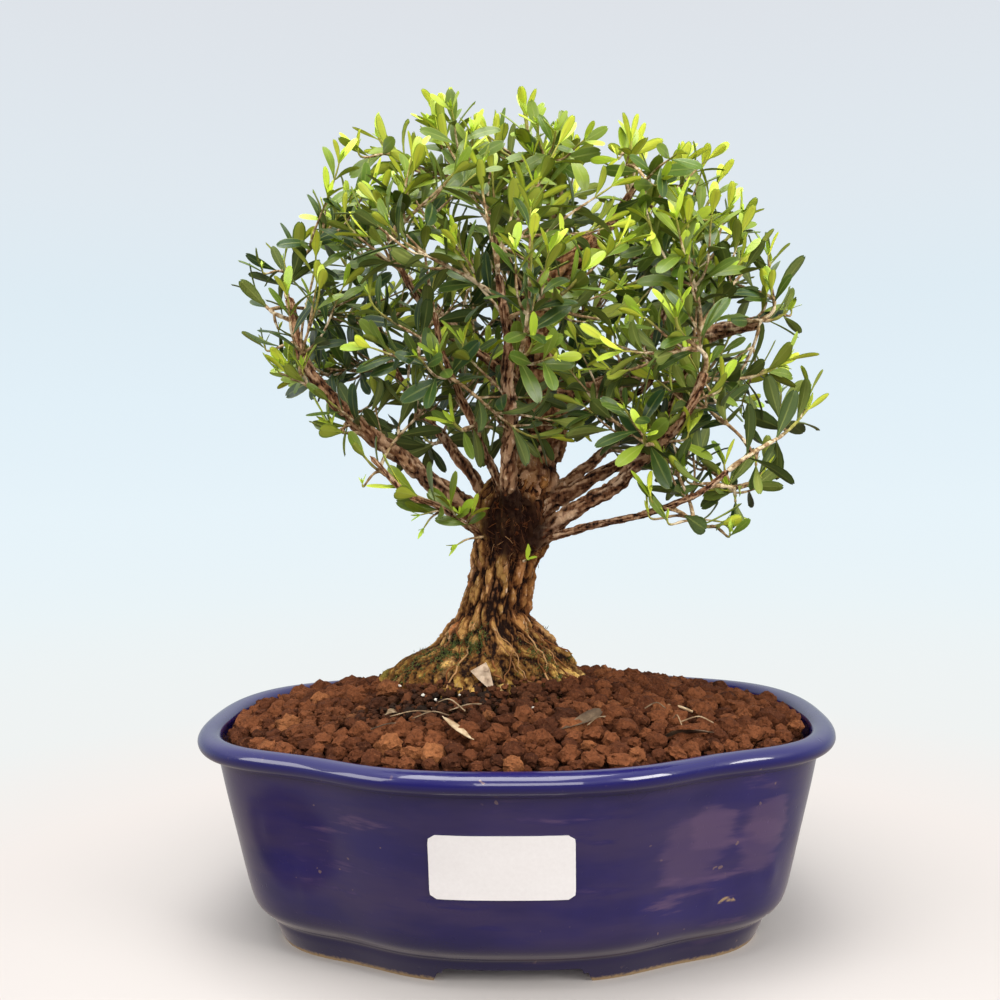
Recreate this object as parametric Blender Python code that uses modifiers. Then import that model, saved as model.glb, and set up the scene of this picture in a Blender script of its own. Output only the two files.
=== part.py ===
"""Harland boxwood bonsai in a glazed pot with a lobed oval outline.

Metres, +Z up. The pot's four feet stand on z = 0 and its middle is the origin. +X runs along the
pot to the right, seen from the front, and -Y is the front. The driving sizes below are written in
millimetres times MM; the tree's routes are lists of millimetres, scaled once when they are drawn.
"""

import math
import random

import bmesh
import bpy
import numpy as np
from mathutils import Matrix, Vector
from mathutils.bvhtree import BVHTree

MM = 0.001
SEED = 41

# Pot
RIM_LENGTH = 205.0 * MM
RIM_DEPTH = 163.8 * MM
OUTLINE_SQUARENESS = 2.49
DENT_ANGLE = math.radians(54.3)
DENT_SPREAD = math.radians(19.8)
RIM_DENT = 0.096
FOOT_DENT = 0.084
FOOT_INSET = 24.6 * MM
DEPTH_TAPER = 1.065
LIP_HEIGHT = 64.4 * MM
LIP_HALF_WIDTH = 3.8 * MM
LIP_HALF_HEIGHT = 3.2 * MM
FLOOR_TOP = 13.0 * MM
UNDERSIDE = 7.0 * MM
OUTLINE_POINTS = 48
ARCH_HEIGHT = 4.9 * MM
FRONT_ARCH = 41.0 * MM
SIDE_ARCH = 34.0 * MM
ARCH_FLARE = 4.5 * MM
DRAIN_RADIUS = 6.0 * MM
DRAIN_SPACING = 64.0 * MM
DRAIN_MESH_SIZE = 19.0 * MM
DRAIN_MESH_THICKNESS = 1.0 * MM

# Soil
GAP = 0.3 * MM
SOIL_SIDE_GAP = 0.8 * MM
SOIL_EDGE = 62.5 * MM
SOIL_RISE = 13.0 * MM
GRANULES_LONG = 22
GRANULES_DEEP = 18
GRANULE_SCATTER = 1.8 * MM
GRANULE_RELIEF = 2.1 * MM
TRUNK_FOOT = 62.5 * MM

# Label
LABEL_LENGTH = 40.6 * MM
LABEL_HEIGHT = 19.3 * MM
LABEL_THICKNESS = 0.4 * MM
LABEL_CORNER = 2.0 * MM
LABEL_CENTRE = (-2.2 * MM, 39.1 * MM)

# Trunk: height, centre x, centre y, half width, half depth, depth of the flutes; millimetres
TRUNK_SECTIONS = (
    (62.5, -10.0, 3.0, 35.0, 25.0, 0.16),
    (75.5, -10.0, 3.0, 35.0, 25.0, 0.16),
    (81.0, -10.0, 3.0, 31.0, 22.5, 0.15),
    (85.0, -8.5, 3.5, 27.0, 20.0, 0.13),
    (89.0, -6.5, 4.0, 20.5, 17.5, 0.11),
    (94.0, -7.0, 4.0, 16.2, 15.0, 0.10),
    (98.5, -7.0, 4.0, 13.0, 13.2, 0.09),
    (104.0, -6.0, 4.0, 11.6, 12.0, 0.10),
    (110.0, -4.6, 4.0, 11.0, 11.4, 0.10),
    (116.0, -2.8, 4.0, 11.0, 11.0, 0.10),
    (121.0, -1.4, 4.0, 12.4, 11.6, 0.10),
    (127.0, -0.4, 4.0, 13.4, 12.2, 0.10),
    (133.0, 0.2, 4.0, 13.8, 12.4, 0.10),
    (139.0, 1.0, 4.0, 13.0, 11.6, 0.10),
    (144.0, 3.0, 4.5, 11.0, 10.0, 0.08),
)
TRUNK_POINTS = 28
ROOT_LOBES = ((7, 0.55, 0.4), (3, 0.45, 1.3))

# Limbs: route in millimetres from inside the wood outwards, radius at the root and at the end
LIMBS = {
    "leader": (((3, 5, 136), (8, 6, 150), (12, 7, 160), (9, 7, 174), (8, 8, 188),
                (10, 8, 200), (16, 8, 212), (23, 8, 219), (30, 8, 224)), 9.0, 3.6),
    "left": (((-8, 2, 130), (-26, -8, 145), (-42, -14, 158), (-58, -16, 173),
              (-66, -14, 186), (-71, -10, 204)), 3.7, 1.4),
    "left_back": (((-6, 6, 136), (-17, 10, 151), (-28, 20, 164), (-38, 30, 177),
                   (-46, 40, 192), (-50, 46, 206)), 2.2, 1.1),
    "left_thin": (((-2, -4, 139), (-12, -18, 164), (-19, -26, 182), (-22, -30, 196)), 1.6, 0.9),
    "inner_left": (((7, 4, 172), (-9, -8, 185), (-22, -14, 194), (-33, -25, 211)), 1.7, 1.0),
    "front": (((0, -3, 131), (0, -16, 143), (0, -20, 152), (1, -26, 167), (0, -34, 189),
               (-2, -40, 206)), 3.2, 1.3),
    "low_left": (((-6, 1, 123), (-22, -16, 136), (-31, -22, 140), (-42, -28, 152)), 1.2, 0.8),
    "right": (((8, 2, 132), (24, -4, 143), (41, -12, 153), (50, -16, 164), (58, -20, 183)), 2.8, 1.3),
    "right_low": (((4, 0, 121), (20, -10, 134), (35, -18, 144), (52, -34, 162),
                   (58, -42, 176)), 3.3, 1.4),
    "right_thin": (((6, -2, 123), (23, -13, 129), (42, -28, 134), (56, -38, 140),
                    (65, -41, 147)), 1.5, 0.9),
    "right_back": (((6, 6, 136), (23, 12, 146), (42, 32, 162), (54, 44, 174), (62, 50, 186)), 2.3, 1.1),
    "front_right": (((10, 4, 161), (24, -10, 166), (40, -22, 171), (46, -30, 178)), 1.5, 0.9),
    "right_stub": (((8, 7, 168), (30, 8, 175), (47, 8, 182), (62, 6, 189), (83, 2, 196)), 3.6, 2.4),
    "right_riser": (((44, 8, 181), (52, 14, 198), (56, 18, 214)), 1.9, 1.1),
    "top_left": (((9, 8, 196), (0, 4, 216), (-6, 0, 232)), 2.0, 1.1),
    "top": (((15, 8, 210), (16, 14, 228), (18, 16, 242)), 2.0, 1.1),
    "top_right": (((24, 8, 219), (34, 2, 228), (42, -4, 240)), 1.9, 1.1),
    "back": (((4, 8, 138), (2, 26, 152), (-4, 42, 170), (-10, 50, 188)), 3.0, 1.2),
    "back_right": (((9, 10, 160), (18, 30, 176), (26, 44, 196)), 2.4, 1.2),
    "back_high": (((8, 10, 182), (2, 28, 200), (-6, 38, 220)), 2.2, 1.1),
    "back_left_high": (((6, 8, 176), (-16, 18, 194), (-34, 24, 214)), 1.9, 1.0),
}

# Tips of the shoots that stand out on the outline and over the front; millimetres
SHOOT_TIPS = (
    (-87, -8, 214), (-77, 2, 226), (-75, -20, 188), (-63, -24, 169), (-50, -27, 160),
    (-60, -2, 238), (-47, 4, 266), (-31, -30, 246), (-24, 0, 272), (-10, 10, 268),
    (5, -2, 273), (11, -40, 241), (20, 14, 262), (31, 16, 266), (41, -10, 260),
    (61, -2, 254), (74, 12, 252), (55, -42, 228), (80, -4, 236), (90, 8, 224),
    (96, -8, 204), (93, -22, 186), (99, -16, 172), (84, -26, 150), (72, -38, 134),
    (-18, -50, 220), (27, -52, 212), (48, -56, 199), (-43, -40, 192), (-22, -50, 188),
    (10, -56, 190), (40, -52, 164), (-20, -36, 168),
)
CROWN_CENTRE = (6.0, 2.0, 204.0)
CROWN_RADII = (90.0, 74.0, 66.0)
TIP_SPACING = 36.0
TIP_CANDIDATES = 500
SHOOT_LIMIT = 48
BARE_TRUNK_HALF_WIDTH = 30.0
BARE_TRUNK_TOP = 168.0
REACH = (101.8, 81.0)

# How far the crown reaches at every ten degrees, seen by an eye in front of it; millimetres
EYE = (8.7, -388.0, 151.3)
EDGE_CENTRE = (6.0, 200.0)
CROWN_EDGE = (86, 89, 87, 81, 85, 70, 72, 67, 64, 75, 72, 81, 74, 84, 90, 79, 94, 98, 95, 91, 84, 78, 79,
              77, 80, 72, 66, 60, 58, 60, 66, 98, 101, 101, 102, 96)
EDGE_SLACK = 1.03

# What the choice of a shoot's place on the limbs weighs; millimetres
FIRST_SHARE_OF_LIMB = 0.3
THICKEST_BEARING_LIMB = 3.4
LEAST_RISE = 8.0
DESCENT_COST = 1.5
CROWDING_REACH = 7.0
CROWDING_COST = 14.0
BEND_COST = 14.0
SHORTEST_SHOOT = 22.0
SHORT_COST = 40.0
SHOOT_ATTEMPTS = 14
NUDGE = 1.3
LIMB_ROOM = 2.6
SHOOT_ROOM = 2.2

# Leaves
LEAF_LENGTH = 16.5
LEAF_WIDTH = 5.6
LEAF_THICKNESS = 1.1
BLADE_EDGE = ((0.0, 0.0), (0.6, -1.0), (0.97, -0.5), (0.97, 0.5), (0.6, 1.0))
BLADE_CREST = 0.58
BLADE_ARCH = 0.07
INTERNODE = 7.6
LEAFY_LENGTH = 56.0
LEAF_SPREAD = math.radians(52)
TIP_CLOSING = math.radians(30)
SPREAD_SCATTER = math.radians(9)
TIP_SHRINK = 0.36
PAIRS_DRAWN = (0, 1, 2, 3, 5)
TIP_LEAF_REACH = 9.0
TWIG_RADIUS = 0.8
STEM_TAPER = 0.55
LEAST_STEM_RADIUS = 0.45
JOINT_HALF_LENGTH = 0.8
LONGEST_STRAIGHT = 13.0
ROOM = 0.4

# Side shoots from the axils of older pairs
SIDE_SHARE = 0.6
SIDE_LENGTHS = (14.0, 27.0)
SIDE_RADIUS = 0.62
SIDE_DROPPED_START = 4.0
SIDE_SIZE = 0.88
SIDES_DRAWN = (3, 6)
SIDE_PAIRS_DRAWN = (0, 1)

# Second shoot of each spray, from low on its stem into the emptiest part of the crown
FORK_HEIGHT = 9.0
FORK_LENGTHS = (20.0, 38.0)
FORK_TRIES = 120
FORK_DEPTH = 0.86
FORK_PAIRS_DRAWN = (0, 1, 3)

FALLEN_LEAVES = ((14, -50, 25, 15.0), (59, -50, 155, 16.5), (-10, -60, 130, 15.0), (-38, -38, 70, 13.0))
FALLEN_TWIG = ((45, -20, 4), (51, -22, 5), (56, -26, 4))
BARK_FLAKE = ((-6.0, -45.0, 76.0), (-0.3, 0.2, 0.93), 12.0, 8.5)


def clear_scene():
    for old in list(bpy.data.objects):
        bpy.data.objects.remove(old)


def new_collection(name):
    group = bpy.data.collections.new(name)
    bpy.context.scene.collection.children.link(group)
    return group


def finish(name, colour, roughness, coat=0.0):
    """A Principled material with one colour."""
    material = bpy.data.materials.new(name)
    material.use_nodes = True
    shader = material.node_tree.nodes["Principled BSDF"]
    shader.inputs["Base Color"].default_value = (*colour, 1)
    shader.inputs["Roughness"].default_value = roughness
    shader.inputs["Coat Weight"].default_value = coat
    material.diffuse_color = (*colour, 1)
    return material


def add_object(name, shape, group, material=None):
    """Turns a bmesh into an object of this name in the collection."""
    mesh = bpy.data.meshes.new(name)
    shape.to_mesh(mesh)
    shape.free()
    made = bpy.data.objects.new(name, mesh)
    group.objects.link(made)
    if material:
        mesh.materials.append(material)
    return made


def loft(rings):
    """Quads through rings of equal point counts, with a flat face at each end."""
    shape = bmesh.new()
    rows = [[shape.verts.new(point) for point in ring] for ring in rings]
    for low, high in zip(rows, rows[1:]):
        for i in range(len(low)):
            j = (i + 1) % len(low)
            shape.faces.new((low[i], low[j], high[j], high[i]))
    shape.faces.new(rows[0])
    shape.faces.new(rows[-1])
    bmesh.ops.recalc_face_normals(shape, faces=shape.faces)
    return shape


def evaluated_mesh(made):
    graph = bpy.context.evaluated_depsgraph_get()
    graph.update()
    return bpy.data.meshes.new_from_object(made.evaluated_get(graph))


def apply_modifiers(made):
    mesh = evaluated_mesh(made)
    made.modifiers.clear()
    made.data = mesh


def keep_largest_body(made):
    """Drops any loose scrap that a union left beside the main body."""
    shape = bmesh.new()
    shape.from_mesh(made.data)
    left = set(shape.verts)
    bodies = []
    while left:
        front = [left.pop()]
        body = list(front)
        while front:
            vertex = front.pop()
            for edge in vertex.link_edges:
                other = edge.other_vert(vertex)
                if other in left:
                    left.remove(other)
                    front.append(other)
                    body.append(other)
        bodies.append(body)
    bodies.sort(key=len)
    for body in bodies[:-1]:
        bmesh.ops.delete(shape, geom=body, context="VERTS")
    shape.to_mesh(made.data)
    shape.free()


def fuse(base, pieces, solver="EXACT"):
    """Joins the pieces to the base by one Boolean union, applied, and removes them."""
    group = new_collection("pieces_to_fuse")
    for piece in pieces:
        for home in list(piece.users_collection):
            home.objects.unlink(piece)
        group.objects.link(piece)
    union = base.modifiers.new("union", "BOOLEAN")
    union.operation = "UNION"
    union.operand_type = "COLLECTION"
    union.collection = group
    union.solver = solver
    apply_modifiers(base)
    for piece in pieces:
        bpy.data.objects.remove(piece)
    bpy.data.collections.remove(group)
    keep_largest_body(base)


def cut(made, cutters):
    """Subtracts each cutter and leaves it hidden in the cutters' collection."""
    for cutter in cutters:
        cutter.hide_render = True
        cutter.display_type = "WIRE"
        difference = made.modifiers.new(cutter.name, "BOOLEAN")
        difference.operation = "DIFFERENCE"
        difference.object = cutter


def surface_tree(made):
    """Search tree of an object's triangles, in world space."""
    mesh = evaluated_mesh(made)
    mesh.calc_loop_triangles()
    points = [made.matrix_world @ vertex.co for vertex in mesh.vertices]
    faces = [tuple(triangle.vertices) for triangle in mesh.loop_triangles]
    return BVHTree.FromPolygons(points, faces)


def outline_point(angle, inset):
    """Lobed oval at this inset from the rim: a superellipse drawn in at its four dents."""
    share = min(max(inset / FOOT_INSET, 0.0), 1.0)
    dent = RIM_DENT + (FOOT_DENT - RIM_DENT) * share
    reach = 1.0
    for centre in (DENT_ANGLE, math.pi - DENT_ANGLE, math.pi + DENT_ANGLE, -DENT_ANGLE):
        turn = (angle - centre + math.pi) % (2 * math.pi) - math.pi
        reach -= dent * math.exp(-((turn / DENT_SPREAD) ** 2))
    power = 2 / OUTLINE_SQUARENESS
    x = math.copysign(abs(math.cos(angle)) ** power, math.cos(angle))
    y = math.copysign(abs(math.sin(angle)) ** power, math.sin(angle))
    half_length = RIM_LENGTH / 2 - inset
    half_depth = RIM_DEPTH / 2 - DEPTH_TAPER * inset
    return half_length * x * reach, half_depth * y * reach


def outline_ring(inset, height, count=OUTLINE_POINTS):
    ring = []
    for i in range(count):
        x, y = outline_point(2 * math.pi * i / count, inset)
        ring.append((x, y, height))
    return ring


# Outer wall from the foot up to the step under the lip: inset and height
WALL_PROFILE = (
    (24.6 * MM, 0.0),
    (22.4 * MM, 5.6 * MM),
    (21.7 * MM, 8.2 * MM),
    (19.6 * MM, 9.7 * MM),
    (16.4 * MM, 13.0 * MM),
    (14.3 * MM, 20.0 * MM),
    (11.2 * MM, 35.0 * MM),
    (8.2 * MM, 49.0 * MM),
    (6.6 * MM, 57.0 * MM),
    (5.2 * MM, 60.0 * MM),
)
INNER_PROFILE = ((8.6 * MM, 60.0 * MM), (13.5 * MM, 40.0 * MM), (19.0 * MM, 18.0 * MM), (26.0 * MM, FLOOR_TOP))
LIP_STEPS = (-60, -15, 30, 75, 120, 170)


def make_pot(group, cutters, material):
    """Shell with a rounded overhanging lip, a recessed underside and four feet between arches."""
    profile = [(35.0 * MM, UNDERSIDE), (33.5 * MM, 0.0), *WALL_PROFILE]
    for step in LIP_STEPS:
        turn = math.radians(step)
        out = LIP_HALF_WIDTH * (1 - math.cos(turn))
        profile.append((out, LIP_HEIGHT + LIP_HALF_HEIGHT * math.sin(turn)))
    profile += INNER_PROFILE
    pot = add_object("pot", loft([outline_ring(*level) for level in profile]), group, material)
    holes = []
    for name, width, along_y in (("arch_front", FRONT_ARCH, True), ("arch_side", SIDE_ARCH, False)):
        shape = bmesh.new()
        bmesh.ops.create_cube(shape, size=1)
        for vertex in shape.verts:
            flare = ARCH_FLARE if vertex.co.z < 0 else 0.0
            across = math.copysign(width / 2 + flare, vertex.co.x)
            along = vertex.co.y * RIM_LENGTH
            height = ARCH_HEIGHT if vertex.co.z > 0 else -ARCH_HEIGHT
            vertex.co = (across, along, height) if along_y else (along, across, height)
        bmesh.ops.recalc_face_normals(shape, faces=shape.faces)
        holes.append(add_object(name, shape, cutters))
    for side in (-1, 1):
        shape = bmesh.new()
        bmesh.ops.create_cone(shape, cap_ends=True, segments=12, radius1=DRAIN_RADIUS,
                              radius2=DRAIN_RADIUS, depth=4 * FLOOR_TOP)
        hole = add_object(f"drain_{'right' if side > 0 else 'left'}", shape, cutters)
        hole.location.x = side * DRAIN_SPACING / 2
        holes.append(hole)
    cut(pot, holes)
    return pot


def make_drain_mesh(side, group, material):
    """Square of open netting over a drain hole, under the soil."""
    cells = 7
    shape = bmesh.new()
    bmesh.ops.create_grid(shape, x_segments=cells, y_segments=cells, size=DRAIN_MESH_SIZE / 2)
    cell = DRAIN_MESH_SIZE / cells
    open_cells = []
    for face in shape.faces:
        middle = face.calc_center_median()
        column = int((middle.x + DRAIN_MESH_SIZE / 2) / cell)
        row = int((middle.y + DRAIN_MESH_SIZE / 2) / cell)
        if column % 2 and row % 2:
            open_cells.append(face)
    bmesh.ops.delete(shape, geom=open_cells, context="FACES")
    net = add_object(f"drain_mesh_{'right' if side > 0 else 'left'}", shape, group, material)
    net.location = (side * DRAIN_SPACING / 2, 0, FLOOR_TOP + GAP)
    thick = net.modifiers.new("thickness", "SOLIDIFY")
    thick.thickness = DRAIN_MESH_THICKNESS
    thick.offset = 1
    return net


def trunk_radius(angle, flutes):
    """Share of a section's half width: lobes of the roots and, higher, the flutes of the wood."""
    swing = sum(weight * math.sin(lobes * angle + phase) for lobes, weight, phase in ROOT_LOBES)
    return 1 + flutes * swing


def trunk_ring(section, count, grow=0.0):
    height, x, y, half_width, half_depth, flutes = section
    ring = []
    for i in range(count):
        angle = 2 * math.pi * i / count
        share = trunk_radius(angle, flutes)
        across = (half_width * share + grow) * math.cos(angle)
        along = (half_depth * share + grow) * math.sin(angle)
        ring.append(((x + across) * MM, (y + along) * MM, height * MM))
    return ring


def soil_height(x, y):
    """Mound of the soil: highest round the trunk, falling to the edge of the pot."""
    spread = (x / (RIM_LENGTH / 2)) ** 2 + (y / (RIM_DEPTH / 2)) ** 2
    return SOIL_EDGE + SOIL_RISE * max(0.0, 1 - spread)


def soil_cutter(group):
    """Everything above the soil: a slab whose underside is raised into granules."""
    draw = random.Random(SEED)
    shape = bmesh.new()
    bmesh.ops.create_grid(shape, x_segments=GRANULES_LONG, y_segments=GRANULES_DEEP, size=0.5)
    hollows = len(shape.verts)
    bmesh.ops.poke(shape, faces=list(shape.faces))
    lower = list(shape.verts)
    roof = bmesh.ops.extrude_face_region(shape, geom=list(shape.faces))["geom"]
    upper = [item for item in roof if isinstance(item, bmesh.types.BMVert)]
    for vertex in lower + upper:
        vertex.co.x *= RIM_LENGTH
        vertex.co.y *= RIM_DEPTH
    for vertex in upper:
        vertex.co.z = 2 * SOIL_EDGE
    for index, vertex in enumerate(lower):
        vertex.co.x += draw.uniform(-1, 1) * GRANULE_SCATTER
        vertex.co.y += draw.uniform(-1, 1) * GRANULE_SCATTER
        bump = draw.uniform(0.35, 1.0) * (-1 if index < hollows else 1)
        vertex.co.z = soil_height(vertex.co.x, vertex.co.y) + GRANULE_RELIEF * bump
    bmesh.ops.recalc_face_normals(shape, faces=shape.faces)
    return add_object("above_soil", shape, group)


def make_soil(group, cutters, material):
    """Fills the pot and mounds up to the trunk, with granules on top and a plain hole for the trunk."""
    floor = FLOOR_TOP + 2 * GAP + DRAIN_MESH_THICKNESS
    levels = ((26.0 * MM, floor), (19.4 * MM, 18.0 * MM), (13.5 * MM, 40.0 * MM), (9.0 * MM, 59.5 * MM),
              (9.0 * MM, SOIL_EDGE + 2 * SOIL_RISE))
    rings = [outline_ring(inset + SOIL_SIDE_GAP, height) for inset, height in levels]
    soil = add_object("soil", loft(rings), group, material)
    foot = TRUNK_SECTIONS[0]
    bottom = (1000 * (TRUNK_FOOT - GAP), *foot[1:])
    top = (4000 * SOIL_RISE + bottom[0], *foot[1:])
    hole = loft([trunk_ring(section, TRUNK_POINTS, 1000 * SOIL_SIDE_GAP) for section in (bottom, top)])
    cut(soil, [soil_cutter(cutters), add_object("trunk_hole", hole, cutters)])
    return soil


def wall_inset(height):
    heights = [level for _, level in WALL_PROFILE]
    insets = [inset for inset, _ in WALL_PROFILE]
    return float(np.interp(height, heights, insets))


def front_wall(x, height):
    """Depth of the pot's front face at this place, measured on its flat-sided outline."""
    ring = outline_ring(wall_inset(height), height)
    front = sorted((point[0], point[1]) for point in ring if point[1] < 0)
    return float(np.interp(x, [p[0] for p in front], [p[1] for p in front]))


def make_label(group, material):
    """Blank paper label with rounded corners, laid over the curve of the front wall."""
    shape = bmesh.new()
    bmesh.ops.create_grid(shape, x_segments=8, y_segments=3, size=0.5)
    for vertex in shape.verts:
        x = vertex.co.x * LABEL_LENGTH
        z = vertex.co.y * LABEL_HEIGHT
        if abs(abs(vertex.co.x) - 0.5) < 0.01 and abs(abs(vertex.co.y) - 0.5) < 0.01:
            x -= math.copysign(0.3 * LABEL_CORNER, x)
            z -= math.copysign(0.3 * LABEL_CORNER, z)
        height = LABEL_CENTRE[1] + z
        across = LABEL_CENTRE[0] + x
        vertex.co = (across, front_wall(across, height) - 2 * GAP, height)
    label = add_object("blank_label", shape, group, material)
    label.data.flip_normals()
    thick = label.modifiers.new("thickness", "SOLIDIFY")
    thick.thickness = LABEL_THICKNESS
    thick.offset = 1 if label.data.polygons[0].normal.y < 0 else -1
    return label


def smooth_route(points, spacing):
    """Catmull-Rom curve through the points, sampled about every `spacing`."""
    knots = [np.array(point, float) for point in points]
    knots = [2 * knots[0] - knots[1], *knots, 2 * knots[-1] - knots[-2]]
    route = []
    for a, b, c, d in zip(knots, knots[1:], knots[2:], knots[3:]):
        steps = max(1, round(float(np.linalg.norm(c - b)) / spacing))
        for t in np.arange(steps) / steps:
            route.append(0.5 * (2 * b + (c - a) * t + (2 * a - 5 * b + 4 * c - d) * t**2
                                + (3 * b - a - 3 * c + d) * t**3))
    route.append(knots[-2])
    return np.array(route)


def unit(vector):
    return vector / max(float(np.linalg.norm(vector)), 1e-9)


def limb_stations():
    """Points along every limb with the limb's direction, radius and share of its length."""
    stations = []
    for points, root_radius, end_radius in LIMBS.values():
        route = smooth_route(points, 4.0)
        ways = np.gradient(route, axis=0)
        for i, (place, way) in enumerate(zip(route, ways)):
            share = i / (len(route) - 1)
            radius = root_radius + (end_radius - root_radius) * share
            stations.append((place, unit(way), radius, share))
    return stations


def crown_tips():
    """The tips set by hand, then points of a golden spiral round the crown that keep their distance."""
    tips = [np.array(tip, float) for tip in SHOOT_TIPS]
    draw = random.Random(SEED + 1)
    centre = np.array(CROWN_CENTRE)
    for i in range(TIP_CANDIDATES):
        height = 1 - 2 * (i + 0.5) / TIP_CANDIDATES
        turn = i * math.pi * (3 - math.sqrt(5))
        flat = math.sqrt(1 - height * height)
        way = np.array([flat * math.cos(turn), flat * math.sin(turn), height])
        tip = centre + way * np.array(CROWN_RADII) * draw.uniform(0.93, 1.05)
        beside_trunk = abs(tip[0] - centre[0]) < BARE_TRUNK_HALF_WIDTH and tip[2] < BARE_TRUNK_TOP
        if height < -0.8 or beside_trunk:
            continue
        if min(np.linalg.norm(tip - other) for other in tips) > TIP_SPACING:
            tips.append(tip)
    return tips[:SHOOT_LIMIT]


def bezier(a, b, c, d, steps=24):
    t = np.linspace(0, 1, steps + 1)[:, None]
    return (1 - t) ** 3 * a + 3 * (1 - t) ** 2 * t * b + 3 * (1 - t) * t**2 * c + t**3 * d


def nearest(route, others):
    """Least distance between two sets of points."""
    if not len(others):
        return 1e9
    return float(np.linalg.norm(route[:, None] - others[None], axis=2).min())


def grow_shoots():
    """A curved route from a limb to each tip, kept clear of the limbs and of the other shoots."""
    stations = limb_stations()
    places = np.array([place for place, _, _, _ in stations])
    draw = random.Random(SEED + 2)
    used = []
    routes = []
    for tip in crown_tips():
        best = None
        for place, way, radius, share in stations:
            if share < FIRST_SHARE_OF_LIMB or radius > THICKEST_BEARING_LIMB:
                continue
            reach = float(np.linalg.norm(tip - place))
            below = max(0.0, place[2] - tip[2] + LEAST_RISE)
            crowding = sum(CROWDING_COST for other in used if np.linalg.norm(place - other) < CROWDING_REACH)
            bend = BEND_COST * (1 - float(unit(tip - place) @ way))
            short = SHORT_COST if reach < SHORTEST_SHOOT else 0.0
            cost = reach + DESCENT_COST * below + crowding + bend + short
            if best is None or cost < best[0]:
                best = (cost, place, way, radius, share)
        _, place, way, radius, share = best
        used.append(place)
        reach = float(np.linalg.norm(tip - place))
        out = unit(tip - place)
        side = unit(out - way * float(out @ way) * 0.8)
        leave = way if share > 0.97 else unit(side + 0.35 * way)
        end = unit(0.7 * out + np.array([0, 0, 0.55]) + 0.25 * unit(tip - np.array(CROWN_CENTRE)))
        tip = tip - end * TIP_LEAF_REACH
        far = places[np.linalg.norm(places - place, axis=1) > 2 * CROWDING_REACH]
        others = np.array([point for route in routes for point in route[6:]])
        chosen = None
        for attempt in range(SHOOT_ATTEMPTS):
            nudge = np.array([draw.uniform(-1, 1) for _ in range(3)]) * attempt * NUDGE
            route = bezier(place, place + leave * reach * 0.33, tip - end * reach * 0.33 + nudge, tip)
            room = min(nearest(route[6:], far) - LIMB_ROOM, nearest(route[6:], others) - SHOOT_ROOM)
            if chosen is None or room > chosen[0]:
                chosen = (room, route)
            if room > 0.6:
                break
        routes.append(chosen[1])
    return routes


def distances(route):
    steps = np.linalg.norm(np.diff(route, axis=0), axis=1)
    return np.concatenate([[0], np.cumsum(steps)])


def stem_frame(route, along, here):
    """Place on the stem at this distance, the stem's direction and two directions across it."""
    place = np.array([np.interp(here, along, route[:, k]) for k in range(3)])
    ahead = np.array([np.interp(here + 1.5, along, route[:, k]) for k in range(3)])
    behind = np.array([np.interp(here - 1.5, along, route[:, k]) for k in range(3)])
    way = unit(ahead - behind)
    across = unit(np.cross(way, (0.3, 0.2, 1.0)))
    return place, way, across, np.cross(way, across)


def leaf_places(route, draw, size=1.0):
    """The stem's turn, and its opposite pairs of leaves from the tip down, each a quarter turn on.

    A leaf is: place, direction, upper side, length, width, pair, distance from the tip, face.
    """
    along = distances(route)
    leaves = []
    back = 1.0
    turn = draw.uniform(0, math.pi)
    pair = 0
    while back < min(LEAFY_LENGTH, 0.86 * along[-1]):
        place, way, across, other = stem_frame(route, along, along[-1] - back)
        young = max(0.0, 1 - pair / 2)
        for side in (0, 2):
            face = (pair + side) % 4
            angle = turn + face * math.pi / 2 + draw.uniform(-0.25, 0.25)
            spread = LEAF_SPREAD - TIP_CLOSING * young + draw.uniform(-1, 1) * SPREAD_SCATTER
            out = across * math.cos(angle) + other * math.sin(angle)
            direction = unit(way * math.cos(spread) + out * math.sin(spread))
            upper = unit(way - direction * float(way @ direction))
            scale = size * (1 - TIP_SHRINK * young) * draw.uniform(0.84, 1.12)
            width = LEAF_WIDTH * scale * draw.uniform(0.9, 1.1)
            leaves.append((place, direction, upper, LEAF_LENGTH * scale, width, pair, back, face))
        back += INTERNODE * (0.75 + 0.25 * min(pair, 2) / 2) * draw.uniform(0.9, 1.12)
        pair += 1
    return turn, leaves


def seen_reach(point):
    """Distance of a point from the crown's middle, seen from the front, as a share of the reach there."""
    scale = EYE[1] / (EYE[1] - point[1])
    across = EYE[0] + (point[0] - EYE[0]) * scale - EDGE_CENTRE[0]
    up = EYE[2] + (point[2] - EYE[2]) * scale - EDGE_CENTRE[1]
    angle = math.degrees(math.atan2(up, across)) % 360
    edge = np.interp(angle, range(0, 370, 10), (*CROWN_EDGE, CROWN_EDGE[0]))
    return math.hypot(across, up) / edge


def in_crown(point):
    return abs(point[0]) < REACH[0] and abs(point[1]) < REACH[1] and seen_reach(point) < EDGE_SLACK


def side_shoots(leaves, draw):
    """Short shoots that rise from the axils: pair, face, route, turn and leaves of each."""
    shoots = []
    for place, direction, upper, _, _, pair, back, face in leaves:
        chance = draw.random()
        reach = draw.uniform(*SIDE_LENGTHS)
        if pair < 2 or chance > SIDE_SHARE:
            continue
        rise = unit(0.8 * direction + 0.45 * upper + np.array([0, 0, 0.3]))
        tip = place + rise * reach
        if not in_crown(tip + rise * TIP_LEAF_REACH):
            continue
        route = bezier(place, place + direction * reach * 0.35, tip - rise * reach * 0.3, tip, 12)
        turn, own = leaf_places(route, draw, SIDE_SIZE)
        shoots.append((pair, back, face, route, turn, own))
    return shoots


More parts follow.
